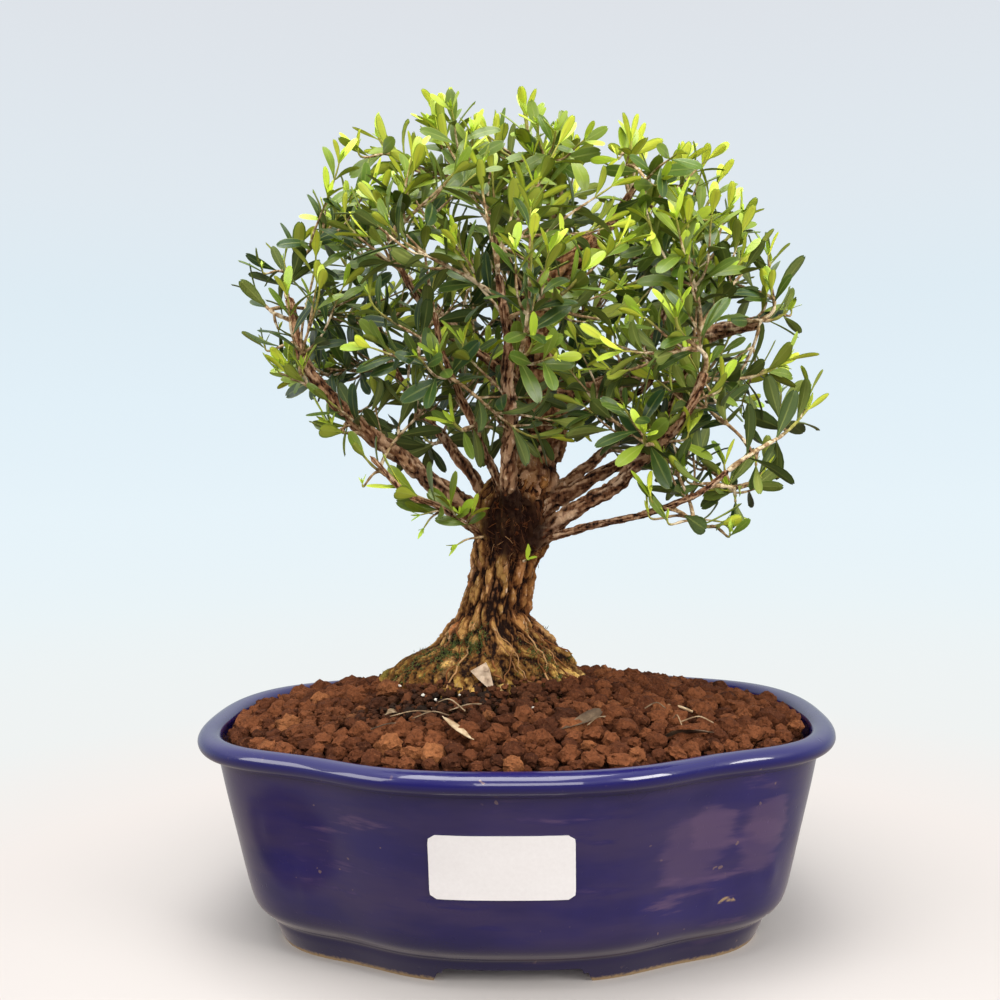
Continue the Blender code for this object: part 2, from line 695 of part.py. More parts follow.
def fork_shoots(routes):
    """For each spray a second shoot that grows to the emptiest place that it can reach: its route."""
    draw = random.Random(SEED + 3)
    centre = np.array(CROWN_CENTRE)
    filled = [point for route in routes for point in route[8::3]]
    forks = []
    for route in routes:
        place, way, _, _ = stem_frame(route, distances(route), FORK_HEIGHT)
        best = None
        for _ in range(FORK_TRIES):
            out = unit(np.array([draw.gauss(0, 1), draw.gauss(0, 1), draw.gauss(0.5, 0.7)]))
            tip = place + out * draw.uniform(*FORK_LENGTHS)
            if np.linalg.norm((tip - centre) / np.array(CROWN_RADII)) > FORK_DEPTH or seen_reach(tip) > 0.93:
                continue
            room = nearest(tip[None], np.array(filled)) + 4 * float(out @ way) + 3 * out[2]
            if best is None or room > best[0]:
                best = (room, tip, out)
        if best is None:
            forks.append(None)
            continue
        _, tip, out = best
        reach = float(np.linalg.norm(tip - place))
        rise = unit(out + np.array([0, 0, 0.8]))
        fork = bezier(place, place + unit(out + 0.4 * way) * reach * 0.35, tip - rise * reach * 0.3, tip, 16)
        forks.append(fork)
        filled += [*fork[5::3], tip]
    return forks


def tube(name, route, radii, sides, group):
    """Tapered round stem: a bevelled curve with filled caps, made into a closed mesh."""
    curve = bpy.data.curves.new(name, "CURVE")
    curve.dimensions = "3D"
    curve.bevel_depth = 1.0
    curve.bevel_resolution = sides // 2 - 2
    curve.use_fill_caps = True
    spline = curve.splines.new("POLY")
    spline.points.add(len(route) - 1)
    for point, place, radius in zip(spline.points, route, radii):
        point.co = (*(Vector(place) * MM), 1)
        point.radius = radius * MM
    stem = bpy.data.objects.new(name, curve)
    bpy.context.scene.collection.objects.link(stem)
    mesh = evaluated_mesh(stem)
    place = stem.matrix_world.copy()
    bpy.data.objects.remove(stem)
    shape = bmesh.new()
    shape.from_mesh(mesh)
    bpy.data.meshes.remove(mesh)
    bmesh.ops.remove_doubles(shape, verts=shape.verts, dist=0.01 * MM)
    made = add_object(name, shape, group)
    made.matrix_world = place
    return made


def blade_shape(leaf, swell=0.0):
    """Leaf blade: a fan on each side of an egg-shaped edge, thickest on its midrib and arched."""
    place, direction, upper, length, width = leaf[:5]
    across = np.cross(upper, direction)
    shape = bmesh.new()
    bmesh.ops.create_uvsphere(shape, u_segments=len(BLADE_EDGE), v_segments=2, radius=1)
    for vertex in shape.verts:
        if abs(vertex.co.z) > 0.5:
            along, wide = BLADE_CREST, 0.0
            lift = math.copysign(LEAF_THICKNESS / 2 + swell, vertex.co.z)
        else:
            turn = math.atan2(vertex.co.y, vertex.co.x) / (2 * math.pi)
            along, wide = BLADE_EDGE[round(turn * len(BLADE_EDGE)) % len(BLADE_EDGE)]
            lift = 0.0
        arch = BLADE_ARCH * length * (1 - (2 * along - 1) ** 2)
        point = place + direction * (along * (length + swell))
        point = point + across * wide * (width / 2 + swell) + upper * (lift + arch)
        vertex.co = Vector(point) * MM
    return shape


def shape_tree(shape):
    tree = BVHTree.FromBMesh(shape)
    shape.free()
    return tree


def blade_tree(leaf):
    """Search tree of a leaf with some room round it, without its root on the stem."""
    place, direction, upper, length, width = leaf[:5]
    start = place + direction * JOINT_HALF_LENGTH
    return shape_tree(blade_shape((start, direction, upper, length - JOINT_HALF_LENGTH, width), ROOM))


def bend(leaf, turn, lift):
    """The same leaf swung by `turn` about its upper side and raised by `lift`."""
    place, direction, upper = leaf[:3]
    swing = Matrix.Rotation(turn, 3, Vector(upper)) @ Matrix.Rotation(lift, 3, Vector(np.cross(upper, direction)))
    return (place, np.array(swing @ Vector(direction)), np.array(swing @ Vector(upper)), *leaf[3:])


BENDS = ((0, 0), (0.35, 0), (-0.35, 0), (0, 0.35), (0, -0.35), (0.6, 0.25), (-0.6, 0.25), (0.5, -0.4),
         (-0.5, -0.4))


def clear_blade(leaf, obstacles):
    """First bend of the leaf that touches nothing and stays in the crown, with its tree, or None."""
    for turn, lift in BENDS:
        tried = bend(leaf, turn, lift)
        if not in_crown(tried[0] + tried[1] * tried[3]):
            continue
        tree = blade_tree(tried)
        if not any(tree.overlap(obstacle) for obstacle in obstacles):
            return tried, tree
    return None


def ring_points(route, along, here, radius, turn):
    """Four corners round the stem; face k of the stem lies between corners k - 1 and k."""
    place, _, across, other = stem_frame(route, along, here)
    angles = [turn + math.pi / 4 + k * math.pi / 2 for k in range(4)]
    return [place + radius * (across * math.cos(angle) + other * math.sin(angle)) for angle in angles]


def add_points(shape, points):
    return [shape.verts.new(Vector(point) * MM) for point in points]


def matched(loop, corners):
    """The open face's four points in the order that lies nearest to the ring's corners."""
    orders = [loop[k:] + loop[:k] for k in range(4)]
    orders += [order[::-1] for order in orders]
    return min(orders, key=lambda order: sum((v.co - Vector(p) * MM).length for v, p in zip(order, corners)))


def add_blade(shape, loop, leaf):
    """Grows a leaf out of a stem's open face: to its widest place, then to its blunt tip."""
    place, direction, upper, length, width = leaf[:5]
    across = np.cross(upper, direction)
    if (loop[1].co - loop[0].co).dot(Vector(across)) < 0:
        loop = [loop[1], loop[0], loop[3], loop[2]]
    points = []
    for along, wide, lift in ((0.58, 0, -0.5), (0.6, 1, 0), (0.58, 0, 0.5), (0.6, -1, 0), (0.97, -0.5, 0), (0.97, 0.5, 0)):
        arch = BLADE_ARCH * length * (1 - (2 * along - 1) ** 2)
        points.append(place + direction * along * length + across * wide * width / 2
                      + upper * (lift * LEAF_THICKNESS + arch))
    under, right, top, left, tip_left, tip_right = add_points(shape, points)
    low_left, low_right, high_right, high_left = loop
    for corners in ((low_left, low_right, under), (low_right, right, under), (low_right, high_right, right),
                    (high_right, top, right), (high_right, high_left, top), (high_left, left, top),
                    (high_left, low_left, left), (low_left, under, left), (left, under, tip_left),
                    (under, tip_right, tip_left), (under, right, tip_right), (right, top, tip_right),
                    (top, tip_left, tip_right), (top, left, tip_left)):
        shape.faces.new(corners)


def add_stem(shape, route, radius, turn, growths, loop=None):
    """Square stem from its root, or from an open face, to its tip, with what grows from its faces.

    `growths` gives, for a distance from the tip, what grows from each face there: a leaf, or a side
    stem as (route, radius, turn, growths).
    """
    along = distances(route)
    whole = along[-1]
    levels = [(0.0 if loop is None else 3 * JOINT_HALF_LENGTH, {})]
    for back in sorted(growths, reverse=True):
        levels.append((whole - back - JOINT_HALF_LENGTH, growths[back]))
        levels.append((whole - back + JOINT_HALF_LENGTH, {}))
    if len(levels) == 1:
        levels.append((whole, {}))
    filled = []
    for (low, grown), (high, _) in zip(levels, levels[1:]):
        filled.append((low, grown))
        extra = int((high - low) / LONGEST_STRAIGHT)
        filled += [(low + (high - low) * (k + 1) / (extra + 1), {}) for k in range(extra)]
    filled.append(levels[-1])
    rings = []
    for here, _ in filled:
        thickness = max(LEAST_STEM_RADIUS, radius * (1 - (1 - STEM_TAPER) * here / whole))
        rings.append(ring_points(route, along, here, thickness, turn))
    rows = [add_points(shape, ring) for ring in rings]
    if loop is None:
        shape.faces.new(rows[0])
    else:
        rows.insert(0, matched(loop, rings[0]))
        filled.insert(0, (0.0, {}))
    shape.faces.new(rows[-1])
    for low, high, (_, grown) in zip(rows, rows[1:], filled):
        for face in range(4):
            gap = [low[face - 1], low[face], high[face], high[face - 1]]
            growth = grown.get(face)
            if growth is None:
                shape.faces.new(gap)
            elif len(growth) == 4:
                add_stem(shape, *growth, gap)
            else:
                add_blade(shape, gap, growth)


def bare_tree(route, radius, turn=0.0):
    shape = bmesh.new()
    add_stem(shape, route, radius, turn, {})
    return shape_tree(shape)


def seat_start(route, trunk_tree):
    """Cuts the route back so that its root lies just off the wood it grows from."""
    dense = smooth_route(route, 0.25)
    ways = np.gradient(dense, axis=0)
    start = len(dense) // 3
    while start > 0:
        place = dense[start]
        way = unit(ways[start])
        across = unit(np.cross(way, (0.2, 0.3, 1)))
        other = np.cross(way, across)
        corners = [place + (across * a + other * b) * TWIG_RADIUS for a, b in ((1, 0), (-1, 0), (0, 1), (0, -1))]
        gaps = [trunk_tree.find_nearest(Vector(corner) * MM)[3] for corner in (*corners, place)]
        if min(gaps) < GAP:
            break
        start -= 1
    return dense[start + 1:]


def make_trunk(group, material):
    """Flared, fluted trunk and its limbs in one piece of wood."""
    trunk = add_object("trunk", loft([trunk_ring(section, TRUNK_POINTS) for section in TRUNK_SECTIONS]),
                       group, material)
    limbs = []
    for name, (points, root_radius, end_radius) in LIMBS.items():
        route = smooth_route(points, 13.0)
        radii = np.linspace(root_radius, end_radius, len(route))
        sides = 8 if root_radius > 5 else 6 if root_radius > 2.5 else 4
        limbs.append(tube(name, route, radii, sides, group))
    fuse(trunk, limbs)
    return trunk


def drawn_leaves(leaves, pairs, obstacles, own, growths, taken=()):
    """Puts the clear leaves of the drawn pairs among the growths and counts them."""
    count = 0
    for leaf in leaves:
        pair, back, face = leaf[5:]
        if pair not in pairs or (back, face) in taken:
            continue
        clear = clear_blade(leaf, obstacles + own)
        if clear:
            growths.setdefault(back, {})[face] = clear[0]
            own.append(clear[1])
            count += 1
    return count


def add_side_stem(shoot, pairs, obstacles, bare, own, growths):
    """Puts a side stem with its drawn leaves among the growths if it is clear; counts the leaves."""
    back, face, route, turn, leaves = shoot
    dense = smooth_route(route, 0.25)
    free = dense[distances(dense) > SIDE_DROPPED_START]
    tree = bare_tree(free, SIDE_RADIUS + ROOM)
    if any(tree.overlap(obstacle) for obstacle in obstacles + [bare] + own):
        return 0
    side_growths = {}
    count = drawn_leaves(leaves, pairs, obstacles + [bare], own, side_growths)
    if count:
        growths.setdefault(back, {})[face] = (dense, SIDE_RADIUS, turn, side_growths)
        own.append(tree)
    return count


def fork_face(route, turn, back, fork):
    """The stem's face that looks most nearly along the fork's first step."""
    along = distances(route)
    _, _, across, other = stem_frame(route, along, along[-1] - back)
    start = unit(fork[3] - fork[0])
    angles = [turn + face * math.pi / 2 for face in range(4)]
    return max(range(4), key=lambda face: float(start @ (across * math.cos(angles[face])
                                                        + other * math.sin(angles[face]))))


def make_sprays(trunk, group, material):
    """A node for each leafy shoot: a stem, its side stems and its leaves, grown as one closed mesh."""
    trunk_tree = surface_tree(trunk)
    routes = grow_shoots()
    stems = []
    for number, (route, fork) in enumerate(zip(routes, fork_shoots(routes)), 1):
        seated = seat_start(route, trunk_tree)
        tree = bare_tree(seated, TWIG_RADIUS)
        if tree.overlap(trunk_tree) or any(tree.overlap(other[4]) for other in stems):
            print("spray left out, its stem would cross another:", number)
            continue
        stems.append([number, route, fork, seated, tree])
    total = 0
    for index, (number, route, fork, seated, bare) in enumerate(stems):
        draw = random.Random(SEED + 100 + index)
        obstacles = [trunk_tree] + [stem[4] for stem in stems if stem[0] != number]
        turn, leaves = leaf_places(route, draw)
        growths = {}
        own = []
        for pair, *shoot in side_shoots(leaves, draw):
            if pair in SIDES_DRAWN:
                total += add_side_stem(shoot, SIDE_PAIRS_DRAWN, obstacles, bare, own, growths)
        taken = {(back, face) for back, faces in growths.items() for face in faces}
        total += drawn_leaves(leaves, PAIRS_DRAWN, obstacles, own, growths, taken)
        back = float(distances(route)[-1]) - FORK_HEIGHT
        if fork is not None and all(back - other > 3 * JOINT_HALF_LENGTH for other in growths):
            own_turn, own_leaves = leaf_places(fork, draw, SIDE_SIZE)
            shoot = (back, fork_face(route, turn, back, fork), fork, own_turn, own_leaves)
            total += add_side_stem(shoot, FORK_PAIRS_DRAWN, obstacles, bare, own, growths)
        shape = bmesh.new()
        add_stem(shape, seated, TWIG_RADIUS, turn, growths)
        bmesh.ops.recalc_face_normals(shape, faces=shape.faces)
        spray = add_object(f"leafy_spray_{number:02d}", shape, group, material)
        stems[index][4] = surface_tree(spray)
    print(len(stems), "sprays,", total, "leaves")


def drop_onto(made, ground):
    """Lowers the piece until it rests just above the ground's surface."""
    step = 0.1 * MM
    made.location.z = 10 * MM
    bpy.context.view_layer.update()
    while not surface_tree(made).overlap(ground) and made.location.z > -20 * MM:
        made.location.z -= step
        bpy.context.view_layer.update()
    made.location.z += GAP
    bpy.context.view_layer.update()


def slide_onto(made, wood):
    """Moves the piece back until it leans just in front of the wood."""
    step = 0.1 * MM
    while not surface_tree(made).overlap(wood) and made.location.y < 40 * MM:
        made.location.y += step
        bpy.context.view_layer.update()
    made.location.y -= GAP + step
    bpy.context.view_layer.update()


def make_litter(soil, trunk, group, dry_leaf, bark):
    """What lies on the soil: fallen leaves, a dry twig and a flake of bark against the trunk."""
    ground = surface_tree(soil)
    for number, (x, y, heading, length) in enumerate(FALLEN_LEAVES, 1):
        turn = math.radians(heading)
        leaf = (np.array([x, y, 76.0]), np.array([math.cos(turn), math.sin(turn), 0.0]),
                np.array([0.0, 0.0, 1.0]), length, 0.36 * length)
        fallen = add_object(f"fallen_leaf_{number}", blade_shape(leaf), group, dry_leaf)
        drop_onto(fallen, ground)
    route = [np.array([x, y, 74.0 + z]) for x, y, z in FALLEN_TWIG]
    twig = tube("fallen_twig", smooth_route(route, 4.0), [0.6] * 10, 4, group)
    twig.data.materials.append(bark)
    drop_onto(twig, ground)
    place, way, length, width = BARK_FLAKE
    direction = unit(np.array(way))
    upper = unit(np.cross(direction, (1.0, 0.0, 0.0)))
    flake = add_object("bark_flake", blade_shape((np.array(place), direction, upper, length, width)), group, bark)
    slide_onto(flake, surface_tree(trunk))


def main():
    clear_scene()
    parts = new_collection("harland_boxwood_bonsai")
    cutters = new_collection("cutters")
    glaze = finish("cobalt_glaze", (0.012, 0.010, 0.13), 0.18, 1.0)
    netting = finish("black_netting", (0.02, 0.02, 0.02), 0.5)
    granules = finish("red_granules", (0.16, 0.055, 0.028), 0.95)
    paper = finish("label_paper", (0.85, 0.84, 0.81), 0.6)
    bark = finish("bark", (0.26, 0.15, 0.075), 0.9)
    foliage = finish("boxwood_leaf", (0.07, 0.16, 0.03), 0.42)
    dry_leaf = finish("dry_leaf", (0.23, 0.17, 0.10), 0.8)
    make_pot(parts, cutters, glaze)
    for side in (-1, 1):
        make_drain_mesh(side, parts, netting)
    soil = make_soil(parts, cutters, granules)
    make_label(parts, paper)
    trunk = make_trunk(parts, bark)
    make_sprays(trunk, parts, foliage)
    make_litter(soil, trunk, parts, dry_leaf, bark)


main()
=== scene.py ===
# %% [markdown]
# # A boxwood bonsai in a glazed pot
# A small tree with a wide, furrowed foot, an open crown of little leathery leaves and a bed of red
# lava granules, standing in a cobalt pot with a lobed oval rim. The solids of the part come in first
# and stay where they are. Every visible surface is then made finer, on the same sizes.

# %% The frame
import math
import random

import bmesh
import bpy
import numpy as np
from mathutils import Matrix, Vector, noise


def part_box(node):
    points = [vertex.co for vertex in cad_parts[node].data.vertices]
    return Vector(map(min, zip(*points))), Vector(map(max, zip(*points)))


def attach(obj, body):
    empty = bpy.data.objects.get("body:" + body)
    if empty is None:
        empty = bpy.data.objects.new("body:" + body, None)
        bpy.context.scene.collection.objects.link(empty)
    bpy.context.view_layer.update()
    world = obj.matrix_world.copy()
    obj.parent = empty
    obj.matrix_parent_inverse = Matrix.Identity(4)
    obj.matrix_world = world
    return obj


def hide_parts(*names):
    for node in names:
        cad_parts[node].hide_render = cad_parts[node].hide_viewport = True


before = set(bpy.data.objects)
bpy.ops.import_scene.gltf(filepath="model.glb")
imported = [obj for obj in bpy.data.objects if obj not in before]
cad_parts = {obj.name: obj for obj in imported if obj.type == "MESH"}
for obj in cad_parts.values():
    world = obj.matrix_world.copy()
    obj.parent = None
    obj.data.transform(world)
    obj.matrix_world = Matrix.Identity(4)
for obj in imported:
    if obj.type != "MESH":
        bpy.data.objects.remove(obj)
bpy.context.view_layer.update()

# %% [markdown]
# Everything below is written in millimetres, as a maker measures it, and is scaled once, when a
# mesh is made. A Heap gathers the points and faces of many small shapes, with marks: one number
# for each point, such as how deep it lies in a furrow or how old its leaf is. The finishes read
# the marks by name, so colour follows the form.

# %% A heap of shapes
MM = 0.001
PARTS = bpy.data.collections.new("bonsai_visual")
bpy.context.scene.collection.children.link(PARTS)


class Heap:
    """Points, faces and marks that become one mesh."""

    def __init__(self):
        self.points = []
        self.faces = []
        self.marks = {}
        self.slots = []
        self.count = 0

    def add(self, points, faces, slot=0, **marks):
        points = np.asarray(points, float).reshape(-1, 3)
        for block in faces:
            block = np.asarray(block, int)
            self.faces += (block + self.count).tolist()
            self.slots += [slot] * len(block)
        for name, value in marks.items():
            column = np.broadcast_to(np.asarray(value, float).reshape(-1), (len(points),))
            self.marks.setdefault(name, []).append(column)
        self.points.append(points)
        self.count += len(points)

    def build(self, name, finishes, crease=None):
        """One smooth-shaded object; edges sharper than `crease` degrees stay sharp."""
        mesh = bpy.data.meshes.new(name)
        mesh.from_pydata((np.concatenate(self.points) * MM).tolist(), [], self.faces)
        for mark, columns in self.marks.items():
            layer = mesh.attributes.new(mark, "FLOAT", "POINT")
            layer.data.foreach_set("value", np.concatenate(columns).astype(np.float32))
        for finish in finishes:
            mesh.materials.append(finish)
        mesh.polygons.foreach_set("material_index", self.slots)
        mesh.shade_smooth()
        if crease:
            mesh.set_sharp_from_angle(angle=math.radians(crease))
        made = bpy.data.objects.new(name, mesh)
        PARTS.objects.link(made)
        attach(made, "root")
        mesh.calc_loop_triangles()
        print(name, len(mesh.loop_triangles), "triangles")
        return made


def grid_quads(rows, columns, closed=True):
    """Quads between the rows of a grid of points; closed joins the last column to the first."""
    last = columns if closed else columns - 1
    low = np.arange(rows - 1)[:, None] * columns
    here = low + np.arange(last)
    there = low + (np.arange(last) + 1) % columns
    return np.stack([here, there, there + columns, here + columns], axis=2).reshape(-1, 4)


def smooth_route(points, spacing):
    """Catmull-Rom curve through the points, sampled about every `spacing`."""
    knots = [np.array(point, float) for point in points]
    knots = [2 * knots[0] - knots[1], *knots, 2 * knots[-1] - knots[-2]]
    route = []
    for a, b, c, d in zip(knots, knots[1:], knots[2:], knots[3:]):
        steps = max(1, round(float(np.linalg.norm(c - b)) / spacing))
        for t in np.arange(steps) / steps:
            route.append(0.5 * (2 * b + (c - a) * t + (2 * a - 5 * b + 4 * c - d) * t**2
                                + (3 * b - a - 3 * c + d) * t**3))
    route.append(knots[-2])
    return np.array(route)


def unit(vector):
    return vector / max(float(np.linalg.norm(vector)), 1e-9)


def sweep(route, radii, sides):
    """Round skin along a route: points, outward directions, distance along and angle, as grids."""
    ways = np.gradient(route, axis=0)
    ways /= np.linalg.norm(ways, axis=1)[:, None]
    side = unit(np.cross(ways[0], (0.21, 0.13, 0.97)))
    sideways = []
    for way in ways:
        side = unit(side - way * float(side @ way))
        sideways.append(side)
    across = np.array(sideways)
    other = np.cross(ways, across)
    turn = np.arange(sides) * 2 * math.pi / sides
    out = across[:, None] * np.cos(turn)[None, :, None] + other[:, None] * np.sin(turn)[None, :, None]
    radii = np.broadcast_to(radii, (len(route),))[:, None]
    along = np.concatenate([[0], np.cumsum(np.linalg.norm(np.diff(route, axis=0), axis=1))])
    points = route[:, None] + out * radii[:, :, None]
    return points, out, np.repeat(along[:, None], sides, 1), np.repeat(turn[None], len(route), 0)


def add_tube(heap, route, radii, sides, slot=0, **marks):
    """A closed tube in the heap; marks are one value for each station of the route."""
    points, _, _, _ = sweep(route, radii, sides)
    rows = len(route)
    top = (rows - 1) * sides
    caps = [[0, i + 1, i] for i in range(1, sides - 1)]
    tops = [[top, top + i, top + i + 1] for i in range(1, sides - 1)]
    spread = {name: np.repeat(np.broadcast_to(value, (rows,)), sides) for name, value in marks.items()}
    heap.add(points, [grid_quads(rows, sides), caps, tops], slot, **spread)


# %% [markdown]
# Materials are written as sums. A Value wraps one output socket and takes Python's operators, so
# `1 - depth * 0.5` adds two Math nodes. Colours are mixed with Mix nodes, and one method, `node`,
# makes any other node from its type, its settings and its inputs.

# %% Shader sums
class Value:
    """An output socket that can be added, multiplied and compared."""

    def __init__(self, finish, socket):
        self.finish = finish
        self.socket = socket

    def sum(self, operation, *terms):
        return self.finish.node("ShaderNodeMath", {"operation": operation}, dict(enumerate(terms)))

    def __add__(self, other):
        return self.sum("ADD", self, other)

    def __radd__(self, other):
        return self.sum("ADD", other, self)

    def __sub__(self, other):
        return self.sum("SUBTRACT", self, other)

    def __rsub__(self, other):
        return self.sum("SUBTRACT", other, self)

    def __mul__(self, other):
        return self.sum("MULTIPLY", self, other)

    def __rmul__(self, other):
        return self.sum("MULTIPLY", other, self)

    def __pow__(self, other):
        return self.sum("POWER", self, other)

    def clipped(self):
        return self.finish.node("ShaderNodeClamp", {}, {0: self})


class Graph:
    """Nodes of one tree, made by short calls."""

    def __init__(self, tree):
        self.tree = tree

    def node(self, kind, settings, inputs, output=0):
        made = self.tree.nodes.new(kind)
        for name, value in settings.items():
            if name == "stops":
                ramp = made.color_ramp.elements
                while len(ramp) < len(value):
                    ramp.new(0.5)
                for stop, (place, colour) in zip(ramp, value):
                    stop.position = place
                    stop.color = (*colour, 1)
            else:
                setattr(made, name, value)
        for key, value in inputs.items():
            if isinstance(value, Value):
                self.tree.links.new(value.socket, made.inputs[key])
            else:
                made.inputs[key].default_value = value
        return Value(self, made.outputs[output])

    def mark(self, name):
        return self.node("ShaderNodeAttribute", {"attribute_name": name}, {}, "Fac")

    def place(self):
        return self.node("ShaderNodeTexCoord", {}, {}, "Object")

    def stretched(self, vector, factors):
        return self.node("ShaderNodeVectorMath", {"operation": "MULTIPLY"}, {0: vector, 1: factors})

    def speckle(self, scale, detail=3.0, vector=None, roughness=0.55):
        """Noise over the object, `scale` specks to a metre, between 0 and 1."""
        return self.node("ShaderNodeTexNoise", {"normalize": True},
                         {"Vector": vector or self.place(), "Scale": scale, "Detail": detail,
                          "Roughness": roughness})

    def between(self, value, low, high, to_low=0.0, to_high=1.0):
        """The value's stretch from low to high, spread smoothly over 0 to 1."""
        return self.node("ShaderNodeMapRange", {"interpolation_type": "SMOOTHSTEP"},
                         {0: value, 1: low, 2: high, 3: to_low, 4: to_high})

    def mix(self, factor, first, second, blend="MIX"):
        colours = {key: (*value, 1) if isinstance(value, tuple) else value
                   for key, value in ((6, first), (7, second))}
        return self.node("ShaderNodeMix", {"data_type": "RGBA", "blend_type": blend},
                         {0: factor, **colours}, 2)

    def ramp(self, factor, *stops):
        return self.node("ShaderNodeValToRGB", {"stops": stops}, {0: factor})

    def height_of(self, vector, axis="Z"):
        return self.node("ShaderNodeSeparateXYZ", {}, {0: vector}, axis)

    def near(self, point_mm, reach_mm):
        """1 at a point of the object, falling to 0 at this reach."""
        gap = self.node("ShaderNodeVectorMath", {"operation": "DISTANCE"},
                        {0: self.place(), 1: tuple(value * MM for value in point_mm)}, "Value")
        return self.between(gap, 0.0, reach_mm * MM, 1.0, 0.0)

    def bump(self, height, distance_mm, strength=1.0, under=None):
        inputs = {"Height": height, "Distance": distance_mm * MM, "Strength": strength}
        if under:
            inputs["Normal"] = under
        return self.node("ShaderNodeBump", {}, inputs, "Normal")


class Finish(Graph):
    """A material with a Principled shader, whose constants are set on its own sockets."""

    def __init__(self, name, **constants):
        self.material = bpy.data.materials.new(name)
        self.material.use_nodes = True
        super().__init__(self.material.node_tree)
        self.shader = self.tree.nodes["Principled BSDF"]
        for socket, value in constants.items():
            self.shader.inputs[socket.replace("_", " ")].default_value = value

    def set(self, **links):
        for name, value in links.items():
            self.tree.links.new(value.socket, self.shader.inputs[name.replace("_", " ")])


# %% [markdown]
# The camera stands where the photographer's did: 39 cm from the pot's middle, 15 cm above the
# table, tipped down by two degrees. A view this near makes the front of the rim look large, so the
# distance matters as much as the lens.

# %% Camera
CAMERA_PLACE = (8.73, -387.96, 151.34)
CAMERA_YAW = 0.03172
CAMERA_PITCH = 0.03506
CAMERA_ROLL = -0.01316
CAMERA_LENS = 42.2


def make_camera():
    right = np.array([math.cos(CAMERA_YAW), -math.sin(CAMERA_YAW), 0.0]) * (1, -1, 1)
    level = np.array([-math.sin(CAMERA_YAW), math.cos(CAMERA_YAW), 0.0])
    forward = level * math.cos(CAMERA_PITCH) + np.array([0, 0, -math.sin(CAMERA_PITCH)])
    up = np.cross(right, forward)
    turned_right = right * math.cos(CAMERA_ROLL) + up * math.sin(CAMERA_ROLL)
    turned_up = up * math.cos(CAMERA_ROLL) - right * math.sin(CAMERA_ROLL)
    camera = bpy.data.objects.new("camera", bpy.data.cameras.new("camera"))
    bpy.context.scene.collection.objects.link(camera)
    turn = Matrix((turned_right, turned_up, -forward)).transposed().to_4x4()
    camera.matrix_world = Matrix.Translation(Vector(CAMERA_PLACE) * MM) @ turn
    camera.data.lens = CAMERA_LENS
    camera.data.clip_start = 0.01
    bpy.context.scene.camera = camera
    return camera


camera = make_camera()
print("camera at", np.round(camera.matrix_world.translation, 3).tolist())

# %% [markdown]
# The stage is one bowl turned from a profile: a flat cream floor that curves up into a pale blue
# backdrop, the same from every side. Near the pot it is a matt surface that takes the soft shadow.
# Further out it fades into an even glow, like the paper tent of a product photographer.

# %% Stage
STAGE_PROFILE = ((0, 0), (500, 0), (900, 0), (1200, 60), (1400, 260), (1500, 700), (1520, 1300), (1500, 2200))
FLOOR_CREAM = (0.474, 0.443, 0.427)
TENT_REACH = 1.8
STAGE_SIDES = 96
TENT_COLOURS = (
    # distance from the pot in metres, colour of the paper there
    (0.20, (0.93, 0.872, 0.836)), (0.35, (0.871, 0.895, 0.89)), (0.87, (0.831, 0.905, 0.93)),
    (1.25, (0.799, 0.90, 0.955)), (1.41, (0.761, 0.871, 0.939)), (1.50, (0.735, 0.838, 0.905)),
    (1.58, (0.745, 0.815, 0.871)), (1.76, (0.730, 0.761, 0.807)),
)


def make_stage():
    profile = smooth_route([(r, 0, z) for r, z in STAGE_PROFILE], 60)
    turns = np.arange(STAGE_SIDES) * 2 * math.pi / STAGE_SIDES
    rows = [[(max(r, 0.5) * math.cos(t), max(r, 0.5) * math.sin(t), max(z, 0)) for t in turns]
            for r, _, z in profile]
    paper = Finish("tent_paper", Roughness=0.9)
    away = paper.node("ShaderNodeVectorMath", {"operation": "LENGTH"}, {0: paper.place()}, "Value")
    tent = paper.ramp(away * (1 / TENT_REACH), *((r / TENT_REACH, colour) for r, colour in TENT_COLOURS))
    paper.shader.inputs["Base Color"].default_value = (*FLOOR_CREAM, 1)
    glow = paper.node("ShaderNodeEmission", {}, {"Color": tent})
    matt = Value(paper, paper.shader.outputs[0])
    blend = paper.node("ShaderNodeMixShader", {}, {0: paper.between(away, 0.085, 0.22), 1: matt, 2: glow})
    paper.tree.links.new(blend.socket, paper.tree.nodes["Material Output"].inputs[0])
    mesh = bpy.data.meshes.new("tent")
    faces = grid_quads(len(rows), len(turns)).tolist() + [list(range(len(turns)))]
    mesh.from_pydata((np.array(rows).reshape(-1, 3) * MM).tolist(), [], faces)
    mesh.materials.append(paper.material)
    mesh.shade_smooth()
    tent = bpy.data.objects.new("tent", mesh)
    bpy.context.scene.collection.objects.link(tent)
    tent.visible_shadow = False
    tent.visible_diffuse = False
    tent.visible_glossy = False


make_stage()
print("stage radius", STAGE_PROFILE[-1][0], "mm")

# %% [markdown]
# The light is that of a photographer's tent: a large softbox above, one at each side and one in
# front. Softboxes are area lamps, whose size sets how soft a shadow is. The world gives a weak, cool
# fill from all round that is dimmer in front, so the dark glaze mirrors no bright wall there.

# %% Lights
SOFTBOXES = (
    # name, place in mm, size in mm, watts, colour
    ("overhead", (-60, -160, 820), 560, 7.0, (1.0, 0.99, 0.96)),
    ("left_box", (-700, -420, 420), 420, 3.2, (1.0, 0.98, 0.95)),
    ("right_box", (640, -520, 470), 360, 6.1, (1.0, 0.98, 0.94)),
    ("front_box", (80, -900, 420), 420, 3.7, (1.0, 0.975, 0.95)),
)
SKY_LOW = (0.40, 0.345, 0.32)
SKY_LEVEL = (0.48, 0.52, 0.56)
SKY_HIGH = (0.95, 0.98, 1.0)


